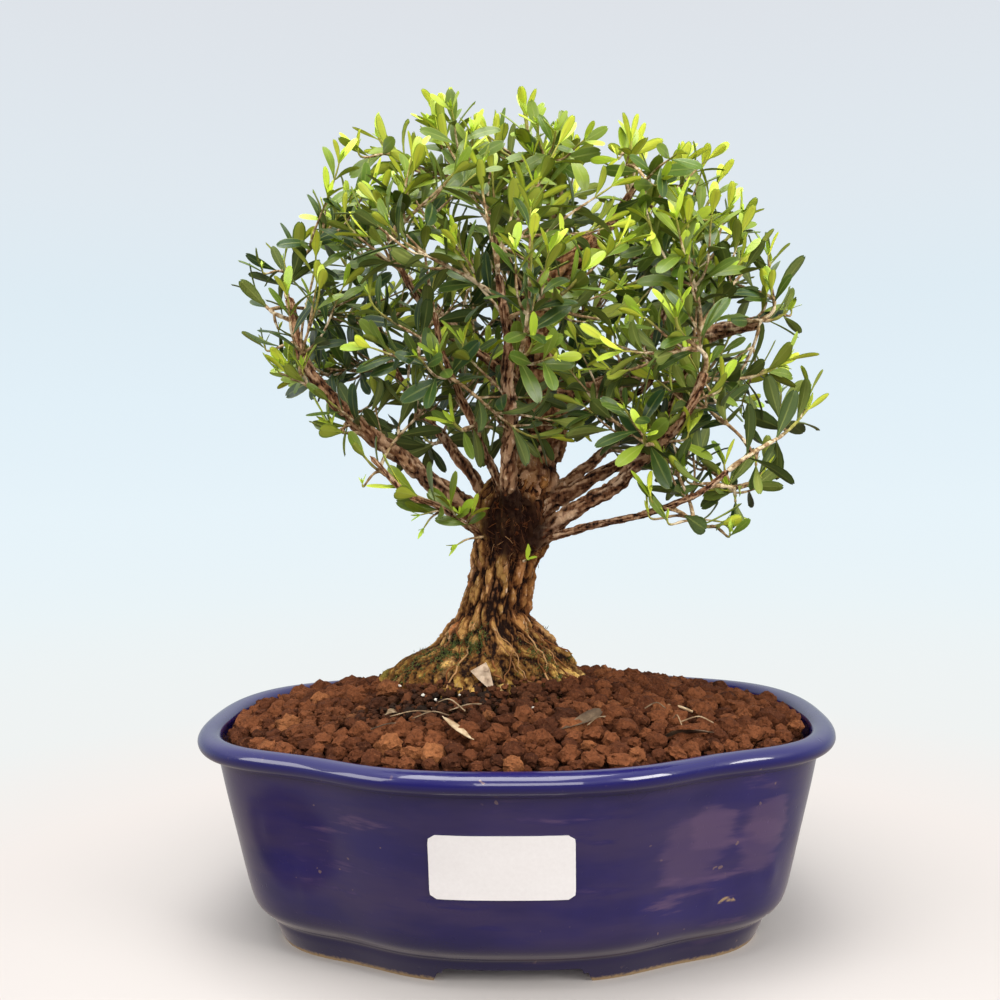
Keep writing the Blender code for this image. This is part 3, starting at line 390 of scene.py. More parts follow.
def make_lights():
    world = bpy.data.worlds.new("tent_light")
    bpy.context.scene.world = world
    world.use_nodes = True
    sky = Graph(world.node_tree)
    way = sky.node("ShaderNodeTexCoord", {}, {}, "Generated")
    rise = sky.height_of(way)
    front = sky.between(sky.height_of(way, "Y"), -0.75, 0.1, 0.35, 1.0)
    below = sky.between(rise, -0.45, -0.05, 1.0, 0.0)
    level = sky.mix(sky.between(rise, -0.5, 0.02), SKY_LOW, SKY_LEVEL)
    tone = sky.mix(sky.between(rise, 0.12, 0.65), level, SKY_HIGH)
    strength = (front + (1 - front) * below) * 0.95
    background = world.node_tree.nodes["Background"]
    world.node_tree.links.new(tone.socket, background.inputs["Color"])
    world.node_tree.links.new(strength.socket, background.inputs["Strength"])
    for name, place, size, watts, colour in SOFTBOXES:
        lamp = bpy.data.lights.new(name, "AREA")
        lamp.size = size * MM
        lamp.energy = watts
        lamp.color = colour
        box = bpy.data.objects.new(name, lamp)
        box.location = Vector(place) * MM
        box.rotation_euler = (Vector((0, 0, 130)) - Vector(place)).to_track_quat("-Z", "Y").to_euler()
        bpy.context.scene.collection.objects.link(box)


make_lights()
bpy.context.scene.view_settings.view_transform = "Standard"
bpy.context.scene.view_settings.look = "None"
print(len(SOFTBOXES), "softboxes")

# %% [markdown]
# The pot is slip-cast stoneware. Its outline is a rounded rectangle drawn in at four places, which
# gives the lobes. One outline function and one profile make the whole shell: a foot band, a wall
# that swells outwards, a step and a round lip. The arches between the feet and the drainage holes
# are then cut away with a Boolean, as a potter cuts them from the leather-hard clay.

# %% Pot outline
RIM_LENGTH = 205.0
RIM_DEPTH = 163.8
OUTLINE_SQUARENESS = 2.49
DENT_ANGLE = math.radians(54.3)
DENT_SPREAD = math.radians(19.8)
RIM_DENT = 0.096
FOOT_DENT = 0.084
FOOT_INSET = 24.6
DEPTH_TAPER = 1.065


def outline(angles, inset):
    """Lobed oval at this inset from the rim, for an array of angles."""
    angles = np.asarray(angles, float)
    share = min(max(inset / FOOT_INSET, 0.0), 1.0)
    dent = RIM_DENT + (FOOT_DENT - RIM_DENT) * share
    reach = np.ones_like(angles)
    for centre in (DENT_ANGLE, math.pi - DENT_ANGLE, math.pi + DENT_ANGLE, -DENT_ANGLE):
        turn = (angles - centre + math.pi) % (2 * math.pi) - math.pi
        reach -= dent * np.exp(-((turn / DENT_SPREAD) ** 2))
    power = 2 / OUTLINE_SQUARENESS
    x = np.sign(np.cos(angles)) * np.abs(np.cos(angles)) ** power
    y = np.sign(np.sin(angles)) * np.abs(np.sin(angles)) ** power
    half_length = RIM_LENGTH / 2 - inset
    half_depth = RIM_DEPTH / 2 - DEPTH_TAPER * inset
    return np.stack([half_length * x * reach, half_depth * y * reach], axis=-1)


def outline_angle(x, y, inset):
    """The outline's own angle at which it passes in the direction of this place."""
    power = OUTLINE_SQUARENESS / 2
    half_length = RIM_LENGTH / 2 - inset
    half_depth = RIM_DEPTH / 2 - DEPTH_TAPER * inset
    return math.atan2(math.copysign(abs(y / half_depth) ** power, y),
                      math.copysign(abs(x / half_length) ** power, x))


def within_outline(x, y, inset):
    edge = outline(outline_angle(x, y, inset), inset)
    return math.hypot(x, y) < math.hypot(*edge)


print("rim corner at 45 degrees:", outline(math.pi / 4, 0).round(1).tolist())

# %% Pot shell
UNDERSIDE = 7.0
LIP_HEIGHT = 64.4
LIP_HALF_WIDTH = 3.8
LIP_HALF_HEIGHT = 3.2
FLOOR_TOP = 13.0
FOOT_PROFILE = ((24.9, 0.0), (24.2, 1.2), (22.4, 5.6), (21.9, 7.6), (21.3, 8.4), (20.2, 8.9))
WALL_PROFILE = ((19.3, 9.9), (16.4, 13.0), (14.3, 20.0), (11.2, 35.0), (8.2, 49.0), (6.6, 57.0), (6.0, 59.6))
INNER_PROFILE = ((8.6, 60.0), (13.5, 40.0), (19.0, 18.0), (26.0, FLOOR_TOP))
FRONT_ARCH, SIDE_ARCH = 41.0, 34.0
DRAIN_RADIUS, DRAIN_PLACE = 6.0, 32.0
OUTLINE_POINTS = 288
LEFT_SHARE = 0.988
RIGHT_SHARE = 1.010
DRIPS = (
    # height, x, how far it stands out, half width, half length
    (43.5, -71.5, 0.75, 2.2, 4.5), (28.5, -61.0, 0.55, 2.4, 9.0), (23.5, 57.5, 0.6, 2.0, 4.0),
    (27.0, 77.0, 0.6, 2.0, 4.5), (17.0, -20.0, 0.25, 3.0, 3.0), (36.0, 86.0, 0.3, 2.4, 6.0),
)


def profile_levels():
    """Inset and height of each ring, from the recessed underside over the lip to the floor."""
    levels = [(60.0, UNDERSIDE), (36.5, UNDERSIDE), (35.0, 6.4), (33.9, 0.6), (33.3, 0.0), (25.6, 0.0)]
    for profile, spacing in ((FOOT_PROFILE, 0.7), (WALL_PROFILE, 1.3)):
        route = smooth_route([(inset, height, 0) for inset, height in profile], spacing)
        levels += [(inset, height) for inset, height, _ in route]
    for step in range(-62, 184, 9):
        turn = math.radians(step)
        levels.append((LIP_HALF_WIDTH * (1 - math.cos(turn)), LIP_HEIGHT + LIP_HALF_HEIGHT * math.sin(turn)))
    route = smooth_route([(inset, height, 0) for inset, height in INNER_PROFILE], 4.0)
    return levels + [(inset, height) for inset, height, _ in route]


def wall_point(x, height):
    """Place on the front wall's glaze at this x and height."""
    heights = [level for _, level in (*FOOT_PROFILE, *WALL_PROFILE)]
    insets = [inset for inset, _ in (*FOOT_PROFILE, *WALL_PROFILE)]
    inset = float(np.interp(height, heights, insets))
    ring = outline(np.linspace(-math.pi, 0, 721), inset)
    return np.array([x, float(np.interp(x, ring[:, 0], ring[:, 1])), height])


# %% Arches and drainage holes
def arch_cutter(name, width, along_y):
    """Prism that opens an arch with rounded shoulders between two feet."""
    height, flare, shoulder = 4.9, 4.5, 1.8
    side = [(width / 2 + flare, -height), (width / 2 + 0.6 * flare / 2, height - shoulder)]
    for step in range(0, 91, 15):
        turn = math.radians(step)
        side.append((width / 2 - shoulder + shoulder * math.cos(turn),
                     height - shoulder + shoulder * math.sin(turn)))
    section = side + [(-across, up) for across, up in reversed(side)]
    shape = bmesh.new()
    ends = []
    for along in (-RIM_LENGTH / 2, RIM_LENGTH / 2):
        ring = [(across, along, up) if along_y else (along, across, up) for across, up in section]
        ends.append([shape.verts.new(Vector(point) * MM) for point in ring])
    for i in range(len(section)):
        j = (i + 1) % len(section)
        shape.faces.new((ends[0][i], ends[0][j], ends[1][j], ends[1][i]))
    shape.faces.new(ends[0])
    shape.faces.new(ends[1])
    bmesh.ops.recalc_face_normals(shape, faces=shape.faces)
    return helper(name, shape)


def helper(name, shape):
    mesh = bpy.data.meshes.new(name)
    shape.to_mesh(mesh)
    shape.free()
    made = bpy.data.objects.new(name, mesh)
    bpy.context.scene.collection.objects.link(made)
    return made


def drain_cutter(side):
    shape = bmesh.new()
    radius = DRAIN_RADIUS * MM
    bmesh.ops.create_cone(shape, cap_ends=True, segments=48, radius1=radius, radius2=radius, depth=52 * MM)
    made = helper("drain", shape)
    made.location.x = side * DRAIN_PLACE * MM
    return made


def cut_away(made, cutters):
    for cutter in cutters:
        difference = made.modifiers.new(cutter.name, "BOOLEAN")
        difference.operation = "DIFFERENCE"
        difference.object = cutter
        difference.solver = "EXACT"
    graph = bpy.context.evaluated_depsgraph_get()
    graph.update()
    mesh = bpy.data.meshes.new_from_object(made.evaluated_get(graph))
    made.modifiers.clear()
    made.data = mesh
    for cutter in cutters:
        bpy.data.objects.remove(cutter)


# %% The whole shell
def make_pot(finish):
    levels = profile_levels()
    angles = np.arange(OUTLINE_POINTS) * 2 * math.pi / OUTLINE_POINTS
    rings = np.array([np.column_stack([outline(angles, inset), np.full(OUTLINE_POINTS, height)])
                      for inset, height in levels])
    out = rings.copy()
    out[:, :, 2] = 0
    out /= np.linalg.norm(out, axis=2)[:, :, None]
    inner = np.array([inset for inset, _ in levels]).argmin()
    rings[:, :, 0] *= np.where(rings[:, :, 0] < 0, LEFT_SHARE, 1.0)
    walls = np.array([height < 61.0 for _, height in levels])
    walls[inner:] = False
    rings[walls, :, 0] *= np.where(rings[walls, :, 0] > 0, RIGHT_SHARE, 1.0)
    for height, x, rise, half_width, half_length in DRIPS:
        gap = ((rings[:, :, 0] - x) / half_width) ** 2 + ((rings[:, :, 2] - height) / half_length) ** 2
        swell = rise * np.exp(-gap) * (rings[:, :, 1] < 0)
        swell[inner:] = 0
        rings += out * swell[:, :, None]
    wobble = np.array([[noise.noise(Vector(point) * 0.035) for point in ring] for ring in rings[6:inner]])
    rings[6:inner] += out[6:inner] * (0.22 * wobble * np.clip(rings[6:inner, :, 2] / 20, 0, 1))[:, :, None]
    heap = Heap()
    last = (len(levels) - 1) * OUTLINE_POINTS
    caps = [[list(range(OUTLINE_POINTS))[::-1]], [list(range(last, last + OUTLINE_POINTS))]]
    heap.add(rings, [grid_quads(len(levels), OUTLINE_POINTS), *caps])
    pot = heap.build("glazed_pot", [finish])
    cut_away(pot, [arch_cutter("arch_front", FRONT_ARCH, True), arch_cutter("arch_side", SIDE_ARCH, False),
                   drain_cutter(-1), drain_cutter(1)])
    pot.data.shade_smooth()
    pot.data.set_sharp_from_angle(angle=math.radians(42))
    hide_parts("pot")
    return pot


# %% [markdown]
# Cobalt glaze is a thick, clear, dark blue glass over pale clay. It pools darker low on the wall,
# breaks thinner and browner along the foot's edge, and carries soft streaks, tiny pits and a chip.
# The clear coat gives the sharp reflections; the base carries the colour and its drift, and a few
# pale patches on the right of the wall that are painted reflections.

# %% Glaze
# Pale patches on the right of the wall: painted reflections of a bright window or softbox, not the glaze's
# own colour.
PAINTED_REFLECTION_PATCHES = (
    # x and height of the middle, reach, strength
    (52.0, 40.0, 19.0, 0.40), (57.0, 46.0, 12.0, 0.45), (76.0, 46.0, 13.0, 0.50), (73.0, 38.0, 13.0, 0.45),
)
SHADE_PLACE, SHADE_REACH = (-66.0, 40.0), 27.0
CHIP_PLACE, CHIP_REACH, CHIP_THICKNESS = (62.5, 19.0), 6.0, 1.0


def glaze_finish():
    glaze = Finish("cobalt_glaze", Coat_Roughness=0.05, Roughness=0.35, Specular_IOR_Level=0.25)
    place = glaze.place()
    height = glaze.height_of(place)
    streaks = glaze.speckle(1.0, 4.0, glaze.stretched(place, (16.0, 16.0, 70.0)))
    drag = glaze.speckle(1.0, 5.0, glaze.stretched(place, (30.0, 30.0, 210.0)))
    clouds = glaze.speckle(24.0, 4.0)
    deep = glaze.mix(glaze.between(clouds, 0.35, 0.7), (0.008, 0.005, 0.062), (0.015, 0.010, 0.098))
    hazy = glaze.mix(glaze.between(streaks, 0.36, 0.66) * 0.75, deep, (0.038, 0.024, 0.078))
    blue = glaze.mix(glaze.between(drag, 0.54, 0.66) * 0.65, hazy, (0.006, 0.004, 0.085))
    # Painted reflection: pale pinkish patches mixed into the base colour where a bright window or softbox
    # would be mirrored.
    for x, up, reach, strength in PAINTED_REFLECTION_PATCHES:
        reflection_spot = glaze.near(wall_point(x, up), reach) + (drag - 0.5) * 1.8 + (clouds - 0.5)
        blue = glaze.mix(glaze.between(reflection_spot, 0.20, 0.62) * strength, blue, (0.105, 0.060, 0.125))
    pooled = glaze.mix(glaze.between(height, 0.004, 0.020, 0.8, 0.0), blue, (0.004, 0.003, 0.035))
    rim = glaze.mix(glaze.between(height, 0.0605, 0.0645), pooled, (0.006, 0.0035, 0.082))
    thin = glaze.between(glaze.speckle(900.0, 2.0) * 0.0016 + height, 0.0012, 0.0026, 1.0, 0.0)
    step = glaze.between(height, 0.0078, 0.0088) * glaze.between(height, 0.0088, 0.0100, 1.0, 0.0)
    warm = glaze.mix(step * glaze.between(glaze.speckle(40.0), 0.4, 0.65) * 0.5, rim, (0.16, 0.085, 0.06))
    x, up = CHIP_PLACE
    outer = glaze.between(glaze.near(wall_point(x, up), CHIP_REACH), 0.30, 0.42)
    inner = glaze.between(glaze.near(wall_point(x, up - CHIP_THICKNESS), CHIP_REACH), 0.44, 0.62, 1.0, 0.0)
    chip = outer * glaze.between(height, 0.0203, 0.0212) * inner
    specks = glaze.between(glaze.speckle(330.0, 1.0), 0.745, 0.765) * glaze.between(clouds, 0.5, 0.6)
    bare = (thin + chip * glaze.between(glaze.speckle(420.0), 0.35, 0.55)).clipped()
    glazed = glaze.mix(specks * 0.7, warm, (0.19, 0.12, 0.11))
    glaze.set(Base_Color=glaze.mix(bare, glazed, (0.34, 0.23, 0.12)))
    shade = glaze.between(glaze.near(wall_point(*SHADE_PLACE), SHADE_REACH) + (clouds - 0.5), 0.25, 0.60)
    glaze.set(Coat_Weight=0.95 - 0.95 * thin - 0.88 * shade * glaze.between(height, 0.0600, 0.0560))
    glaze.set(Roughness=glaze.between(clouds, 0.3, 0.7, 0.25, 0.40) + thin * 0.4)
    pits = glaze.between(glaze.speckle(620.0, 1.0), 0.70, 0.78)
    waves = glaze.speckle(1.0, 2.0, glaze.stretched(place, (60.0, 60.0, 120.0)))
    glaze.set(Normal=glaze.bump(waves + 0.3 * glaze.speckle(150.0, 2.0) - 0.4 * pits, 0.4, 0.35))
    return glaze.material


pot = make_pot(glaze_finish())

# %% [markdown]
# The label is a strip of thick off-white paper glued to the front wall. It bends with the wall and
# carries nothing. Its corners are rounded and its edge stands a little proud.

# %% Label
LABEL_SIZE = (40.6, 19.3)
LABEL_CENTRE = (-2.2, 39.1)
LABEL_CORNER = 2.0


def paper_finish():
    paper = Finish("label_paper", Roughness=0.55)
    fibre = paper.speckle(900.0, 3.0)
    paper.set(Base_Color=paper.mix(fibre, (0.80, 0.765, 0.755), (0.88, 0.85, 0.84)))
    paper.set(Normal=paper.bump(fibre, 0.05, 0.4))
    return paper.material


def make_label(finish):
    length, height = LABEL_SIZE
    heap = Heap()
    columns, rows = 37, 17
    fronts, backs = [], []
    for v in np.linspace(-0.5, 0.5, rows):
        shy = max(0.0, abs(v) * height - (height / 2 - LABEL_CORNER))
        half = length / 2 - LABEL_CORNER + math.sqrt(max(0.0, LABEL_CORNER**2 - shy**2))
        for u in np.linspace(-1, 1, columns):
            at = wall_point(LABEL_CENTRE[0] + u * half, LABEL_CENTRE[1] + v * height)
            lift = 0.12 + 0.08 * noise.noise(Vector((u * 3, v * 3, 1.5)))
            fronts.append(at - (0, lift + 0.28, 0))
            backs.append(at - (0, lift, 0))
    front = grid_quads(rows, columns, False)
    back = front[:, ::-1] + rows * columns
    border = [*range(columns), *range(2 * columns - 1, rows * columns, columns),
              *range(rows * columns - 2, (rows - 1) * columns - 1, -1),
              *range((rows - 2) * columns, 0, -columns)]
    rim = [[b, a, a + rows * columns, b + rows * columns] for a, b in zip(border, border[1:] + border[:1])]
    heap.add(fronts + backs, [front, back, rim])
    label = heap.build("paper_label", [finish], 40)
    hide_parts("blank_label")


make_label(paper_finish())

# %% [markdown]
# The soil is a bed of crushed red lava and baked clay, sieved to pieces of 4 to 10 mm. A lumpy bed,
# painted dark as painted shade in the gaps, carries two layers of granules, and the lower layer is
# painted darker, as painted shade under the upper one. A few pebble shapes are made from a small
# sphere, pressed into lumps, cut flat and roughened by noise. Each granule is one of them, turned and
# given a random tone by a seeded draw. Near the trunk lie darker humus crumbs and a few white grains of
# perlite.

# %% Soil sizes
SEED = 41
SOIL_EDGE = 62.5
SOIL_RISE = 13.0
SOIL_INSET = 9.4
BED_POINTS = 160
LOWER_GRANULES = 900
UPPER_GRANULES = 760
CRUMBS = 380
# radius in mm: least, most and most common
LOWER_SIZES, UPPER_SIZES, CRUMB_SIZES = (1.5, 3.6, 2.3), (1.9, 5.0, 3.1), (0.45, 1.5, 0.8)
TRUNK_PLACE = (-10.0, 3.0)
TRUNK_FOOT_HALF = (33.0, 23.0)


def soil_height(x, y):
    spread = (x / (RIM_LENGTH / 2)) ** 2 + (y / (RIM_DEPTH / 2)) ** 2
    return SOIL_EDGE + SOIL_RISE * max(0.0, 1 - spread)


def in_trunk(x, y, grow=0.0):
    across = (x - TRUNK_PLACE[0]) / (TRUNK_FOOT_HALF[0] + grow)
    along = (y - TRUNK_PLACE[1]) / (TRUNK_FOOT_HALF[1] + grow)
    return across**2 + along**2 < 1


def humus(x, y):
    """How far this place lies in the dark patch by the trunk's front, 0 to 1."""
    gap = ((x + 22) / 34) ** 2 + ((y + 26) / 11) ** 2
    return math.exp(-gap)


def pile(x, y):
    """How much higher the granules lie where they are heaped against the front of the foot."""
    across = (x - TRUNK_PLACE[0]) / TRUNK_FOOT_HALF[0]
    along = (y - TRUNK_PLACE[1]) / TRUNK_FOOT_HALF[1]
    gap = max(0.0, math.hypot(across, along) - 1)
    return 4.2 * math.exp(-((gap / 0.34) ** 2)) * min(1.0, max(0.0, -along * 1.6))


# %% Granules
def pebble_shapes(level, count, draw):
    """A few unit pebbles: lumps pressed together, cut a little flat, then roughened by noise."""
    shape = bmesh.new()
    bmesh.ops.create_icosphere(shape, subdivisions=level, radius=1)
    base = np.array([vertex.co for vertex in shape.verts])
    faces = np.array([[vertex.index for vertex in face.verts] for face in shape.faces])
    shape.free()
    pebbles = []
    for _ in range(count):
        shift = Vector([draw.uniform(-50, 50) for _ in range(3)])
        lumps = np.array([1.20 - 0.50 * noise.voronoi(Vector(point) * 1.9 + shift)[0][0] for point in base])
        points = base * lumps[:, None]
        for _ in range(7):
            side = unit(np.array([draw.gauss(0, 1) for _ in range(3)]))
            points -= side * np.maximum(points @ side - draw.uniform(0.62, 0.85), 0)[:, None]
        rough = np.array([1 + 0.20 * noise.noise(Vector(point) * 2.4 + shift)
                          + 0.14 * noise.noise(Vector(point) * 6.0 + shift) for point in base])
        points *= rough[:, None]
        pebbles.append(points * (1.12, draw.uniform(0.85, 1.05), draw.uniform(0.75, 0.95)))
    return pebbles, faces


def lay_granules(draw, count, sizes, drop, spacing, inset):
    """Random places on the mound that keep their distance: x, y, z and radius."""
    laid = []
    cells = {}
    for _ in range(count * 30):
        if len(laid) >= count:
            break
        x = draw.uniform(-RIM_LENGTH / 2, RIM_LENGTH / 2)
        y = draw.uniform(-RIM_DEPTH / 2, RIM_DEPTH / 2)
        radius = draw.triangular(*sizes)
        radius *= 1 - 0.45 * humus(x, y)
        if not within_outline(x, y, inset + radius * 0.75) or in_trunk(x, y, radius * 0.4):
            continue
        key = (int(x // 12), int(y // 12))
        near = [other for i in (-1, 0, 1) for j in (-1, 0, 1)
                for other in cells.get((key[0] + i, key[1] + j), ())]
        if any(math.hypot(x - a, y - b) < spacing * (radius + r) for a, b, r in near):
            continue
        cells.setdefault(key, []).append((x, y, radius))
        laid.append((x, y, soil_height(x, y) + pile(x, y) + drop * radius, radius))
    return laid


def lay_crumbs(draw, count):
    """Small crumbs of clay and humus between the granules, thickest before the trunk's foot."""
    laid = []
    while len(laid) < count:
        x, y = (draw.gauss(-14, 24), draw.gauss(-24, 7)) if draw.random() < 0.9 else (
            draw.uniform(-90, 90), draw.uniform(-72, 60))
        if within_outline(x, y, SOIL_INSET + 2) and not in_trunk(x, y, -2.0):
            radius = draw.triangular(*CRUMB_SIZES)
            laid.append((x, y, soil_height(x, y) + pile(x, y) + draw.uniform(0.6, 2.2), radius))
    return laid


def add_granules(heap, laid, pebbles, faces, draw, painted_shade_factor=1.0):
    for x, y, z, radius in laid:
        spin = Matrix.Rotation(draw.uniform(0, 6.28), 3, "Z")
        turn = spin @ Matrix.Rotation(draw.uniform(-0.5, 0.5), 3, "X")
        points = draw.choice(pebbles) @ np.array(turn).T * radius + (x, y, z)
        dark = humus(x, y)
        white = 1.0 if dark > 0.3 and radius < 0.62 and draw.random() < 0.28 else 0.0
        # Each granule gets a random tone; for the lower layer it is scaled down, as painted shade in the gaps
        # under the upper granules.
        shade = painted_shade_factor * draw.betavariate(1.7, 1.5)
        heap.add(points, [faces], shade=shade, dark=min(1, dark * draw.uniform(0.2, 1.3)), white=white)


# %% Soil layers
def make_soil(bed_finish, finish):
    draw = random.Random(SEED)
    heap = Heap()
    rings = []
    for share in (0.02, 0.2, 0.35, 0.5, 0.62, 0.72, 0.8, 0.87, 0.93, 0.98, 1.0):
        flat = outline(np.arange(BED_POINTS) * 2 * math.pi / BED_POINTS, SOIL_INSET - 0.4) * share
        rings.append([(x, y, soil_height(x, y) - 3.0 + 1.4 * noise.noise(Vector((x, y, 0)) * 0.16))
                      for x, y in flat])
    skirt = [(x * 0.985, y * 0.985, z - 6) for x, y, z in rings[-1]]
    rings.append(skirt)
    last = (len(rings) - 1) * BED_POINTS
    caps = [[list(range(BED_POINTS))[::-1]], [list(range(last, last + BED_POINTS))]]
    # The bed is painted dark: painted shade in the gaps under the granules.
    heap.add(rings, [grid_quads(len(rings), BED_POINTS), *caps], shade=0.3, dark=0.6, white=0.0)
    bed = heap.build("soil_bed", [bed_finish])
    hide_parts("soil")
    fine, fine_faces = pebble_shapes(3, 14, draw)
    coarse, coarse_faces = pebble_shapes(2, 10, draw)
    lower = Heap()
    lower_laid = lay_granules(draw, LOWER_GRANULES, LOWER_SIZES, -0.6, 0.70, SOIL_INSET)
    # The lower layer is darkened to a quarter: painted shade in the gaps between the upper granules.
    add_granules(lower, lower_laid, coarse, coarse_faces, draw, 0.25)
    add_granules(lower, lay_crumbs(draw, CRUMBS), coarse, coarse_faces, draw)
    upper_laid = lay_granules(draw, UPPER_GRANULES, UPPER_SIZES, 0.15, 0.80, SOIL_INSET)
    uppers = [Heap(), Heap()]
    for side, heap in enumerate(uppers):
        half = [item for item in upper_laid if (item[0] > 0) == bool(side)]
        add_granules(heap, half, fine, fine_faces, draw)
    for name, heap in zip(("granules_lower", "granules_left", "granules_right"), (lower, *uppers)):
        heap.build(name, [finish], 38)
    return lower_laid, upper_laid


def granule_finish():
    clay = Finish("lava_granules", Roughness=0.95, Specular_IOR_Level=0.08)
    grain = clay.speckle(1300.0, 5.0)
    coarse = clay.speckle(330.0, 3.0)
    shade = clay.mark("shade")
    crease = clay.node("ShaderNodeTexVoronoi", {"feature": "F1"},
                       {"Vector": clay.place(), "Scale": 560.0, "Randomness": 1.0}, "Distance")
    red = clay.ramp(shade * 0.8 + coarse * 0.2, (0.0, (0.034, 0.012, 0.006)), (0.28, (0.078, 0.025, 0.011)),
                    (0.55, (0.122, 0.040, 0.016)), (0.80, (0.168, 0.057, 0.023)), (1.0, (0.34, 0.135, 0.050)))
    pitted = clay.between(grain, 0.26, 0.50) * clay.between(crease, 0.50, 0.95, 1.0, 0.45)
    rough = clay.mix(pitted, clay.mix(0.62, red, (0.016, 0.006, 0.004)), red)
    dusty = clay.mix(clay.between(grain, 0.58, 0.78) * 0.35, rough, (0.40, 0.17, 0.075))
    # The dark mark is the humus crumbs' own colour near the trunk, and on the bed it is painted shade between
    # the granules.
    crumbs = clay.mix(clay.mark("dark"), dusty, (0.018, 0.011, 0.008))
    clay.set(Base_Color=clay.mix(clay.mark("white"), crumbs, (0.72, 0.68, 0.60)))
    height = grain * 0.7 + coarse * 0.8 - crease * 0.8
    clay.set(Normal=clay.bump(height, 1.2, 0.8))
    return clay.material


granules = granule_finish()
lower_laid, upper_laid = make_soil(granules, granules)
print(len(lower_laid), "lower and", len(upper_laid), "upper granules")

# %% [markdown]
# The wood is an old, slow trunk: it spreads into a wide foot of root ridges, narrows to a waist and
# swells again where the limbs part. Its bark is fibrous and furrowed along the grain, with ochre
# ridges over dark brown clefts. A ring of points at each height, pushed in and out by a noise that
# is stretched along the grain, gives real furrows, and each point remembers how deep it lies.

# %% Trunk
# unless this seed is set, noise_vector takes its offsets from the clock and each run differs
noise.seed_set(SEED)
TRUNK_SECTIONS = (
    # height, centre x, centre y, half width, half depth, depth of the flutes
    (62.5, -10.0, 3.0, 35.0, 25.0, 0.16), (75.5, -10.0, 3.0, 35.0, 25.0, 0.16),
    (81.0, -10.0, 3.0, 31.0, 22.5, 0.15), (85.0, -8.5, 3.5, 27.0, 20.0, 0.13),
    (89.0, -6.5, 4.0, 20.5, 17.5, 0.11), (94.0, -7.0, 4.0, 16.2, 15.0, 0.10),
    (98.5, -7.0, 4.0, 13.0, 13.2, 0.09), (104.0, -6.0, 4.0, 11.6, 12.0, 0.10),
    (110.0, -4.6, 4.0, 11.0, 11.4, 0.10), (116.0, -2.8, 4.0, 11.0, 11.0, 0.10),
    (121.0, -1.4, 4.0, 12.4, 11.6, 0.10), (127.0, -0.4, 4.0, 13.4, 12.2, 0.10),
    (133.0, 0.2, 4.0, 13.8, 12.4, 0.10), (139.0, 1.0, 4.0, 13.0, 11.6, 0.10),
    (144.0, 3.0, 4.5, 11.0, 10.0, 0.08), (147.5, 4.0, 5.0, 6.0, 6.0, 0.05),
)
ROOT_LOBES = ((7, 0.55, 0.4), (3, 0.45, 1.3))
TRUNK_POINTS = 256
TRUNK_ROWS = 240
TRUNK_LOW, FOOT_TOP, TRUNK_TOP = 66.0, 92.0, 147.4
FOOT_FADE = 14.0
# how many plates lie across a unit circle, and how many to a millimetre of height
TRUNK_GRAIN = (2.9, 0.072)
FOOT_GRAIN = (6.2, 0.042)


# %% Plates and furrows
def plate_at(place):
    """The cell of bark that a place lies in: 1 on its back, 0 in the cleft round it, and its own tone."""
    (first, second, _, _), middles = noise.voronoi(place)
    rise = min(1.0, (second - first) * 2.3)
    return rise * rise * (3 - 2 * rise), noise.cell(middles[0] * 37)


def bark_at(turn, along, strips, climb):
    """Bark at this angle and this far up the grain: plate, splinters on it, flakes and the plate's tone."""
    x, y = math.cos(turn), math.sin(turn)
    turn += 0.010 * along + 0.24 * noise.noise(Vector((x * 0.9, y * 0.9, along * 0.035)))
    x, y = math.cos(turn) * strips, math.sin(turn) * strips
    grain = Vector((x, y, along * climb))
    plate, tone = plate_at(grain + 0.40 * noise.noise_vector(grain * 1.6))
    splinter = Vector((x * 2.9, y * 2.9, along * 2.9 * climb))
    fine, own = plate_at(splinter + 0.5 * noise.noise_vector(splinter * 1.3))
    flakes = noise.fractal(Vector((x * 4, y * 4, along * 9.7 * climb)), 0.8, 2.2, 3)
    return plate, fine, flakes, 0.65 * tone + 0.35 * own


def furrows(turn, along, foot):
    """Wide plates on the trunk, which split into narrow fibrous strips towards the foot."""
    trunk = bark_at(turn, along, *TRUNK_GRAIN)
    if foot == 0:
        return trunk
    strips = bark_at(turn, along, *FOOT_GRAIN)
    return [a + (b - a) * foot for a, b in zip(trunk, strips)]


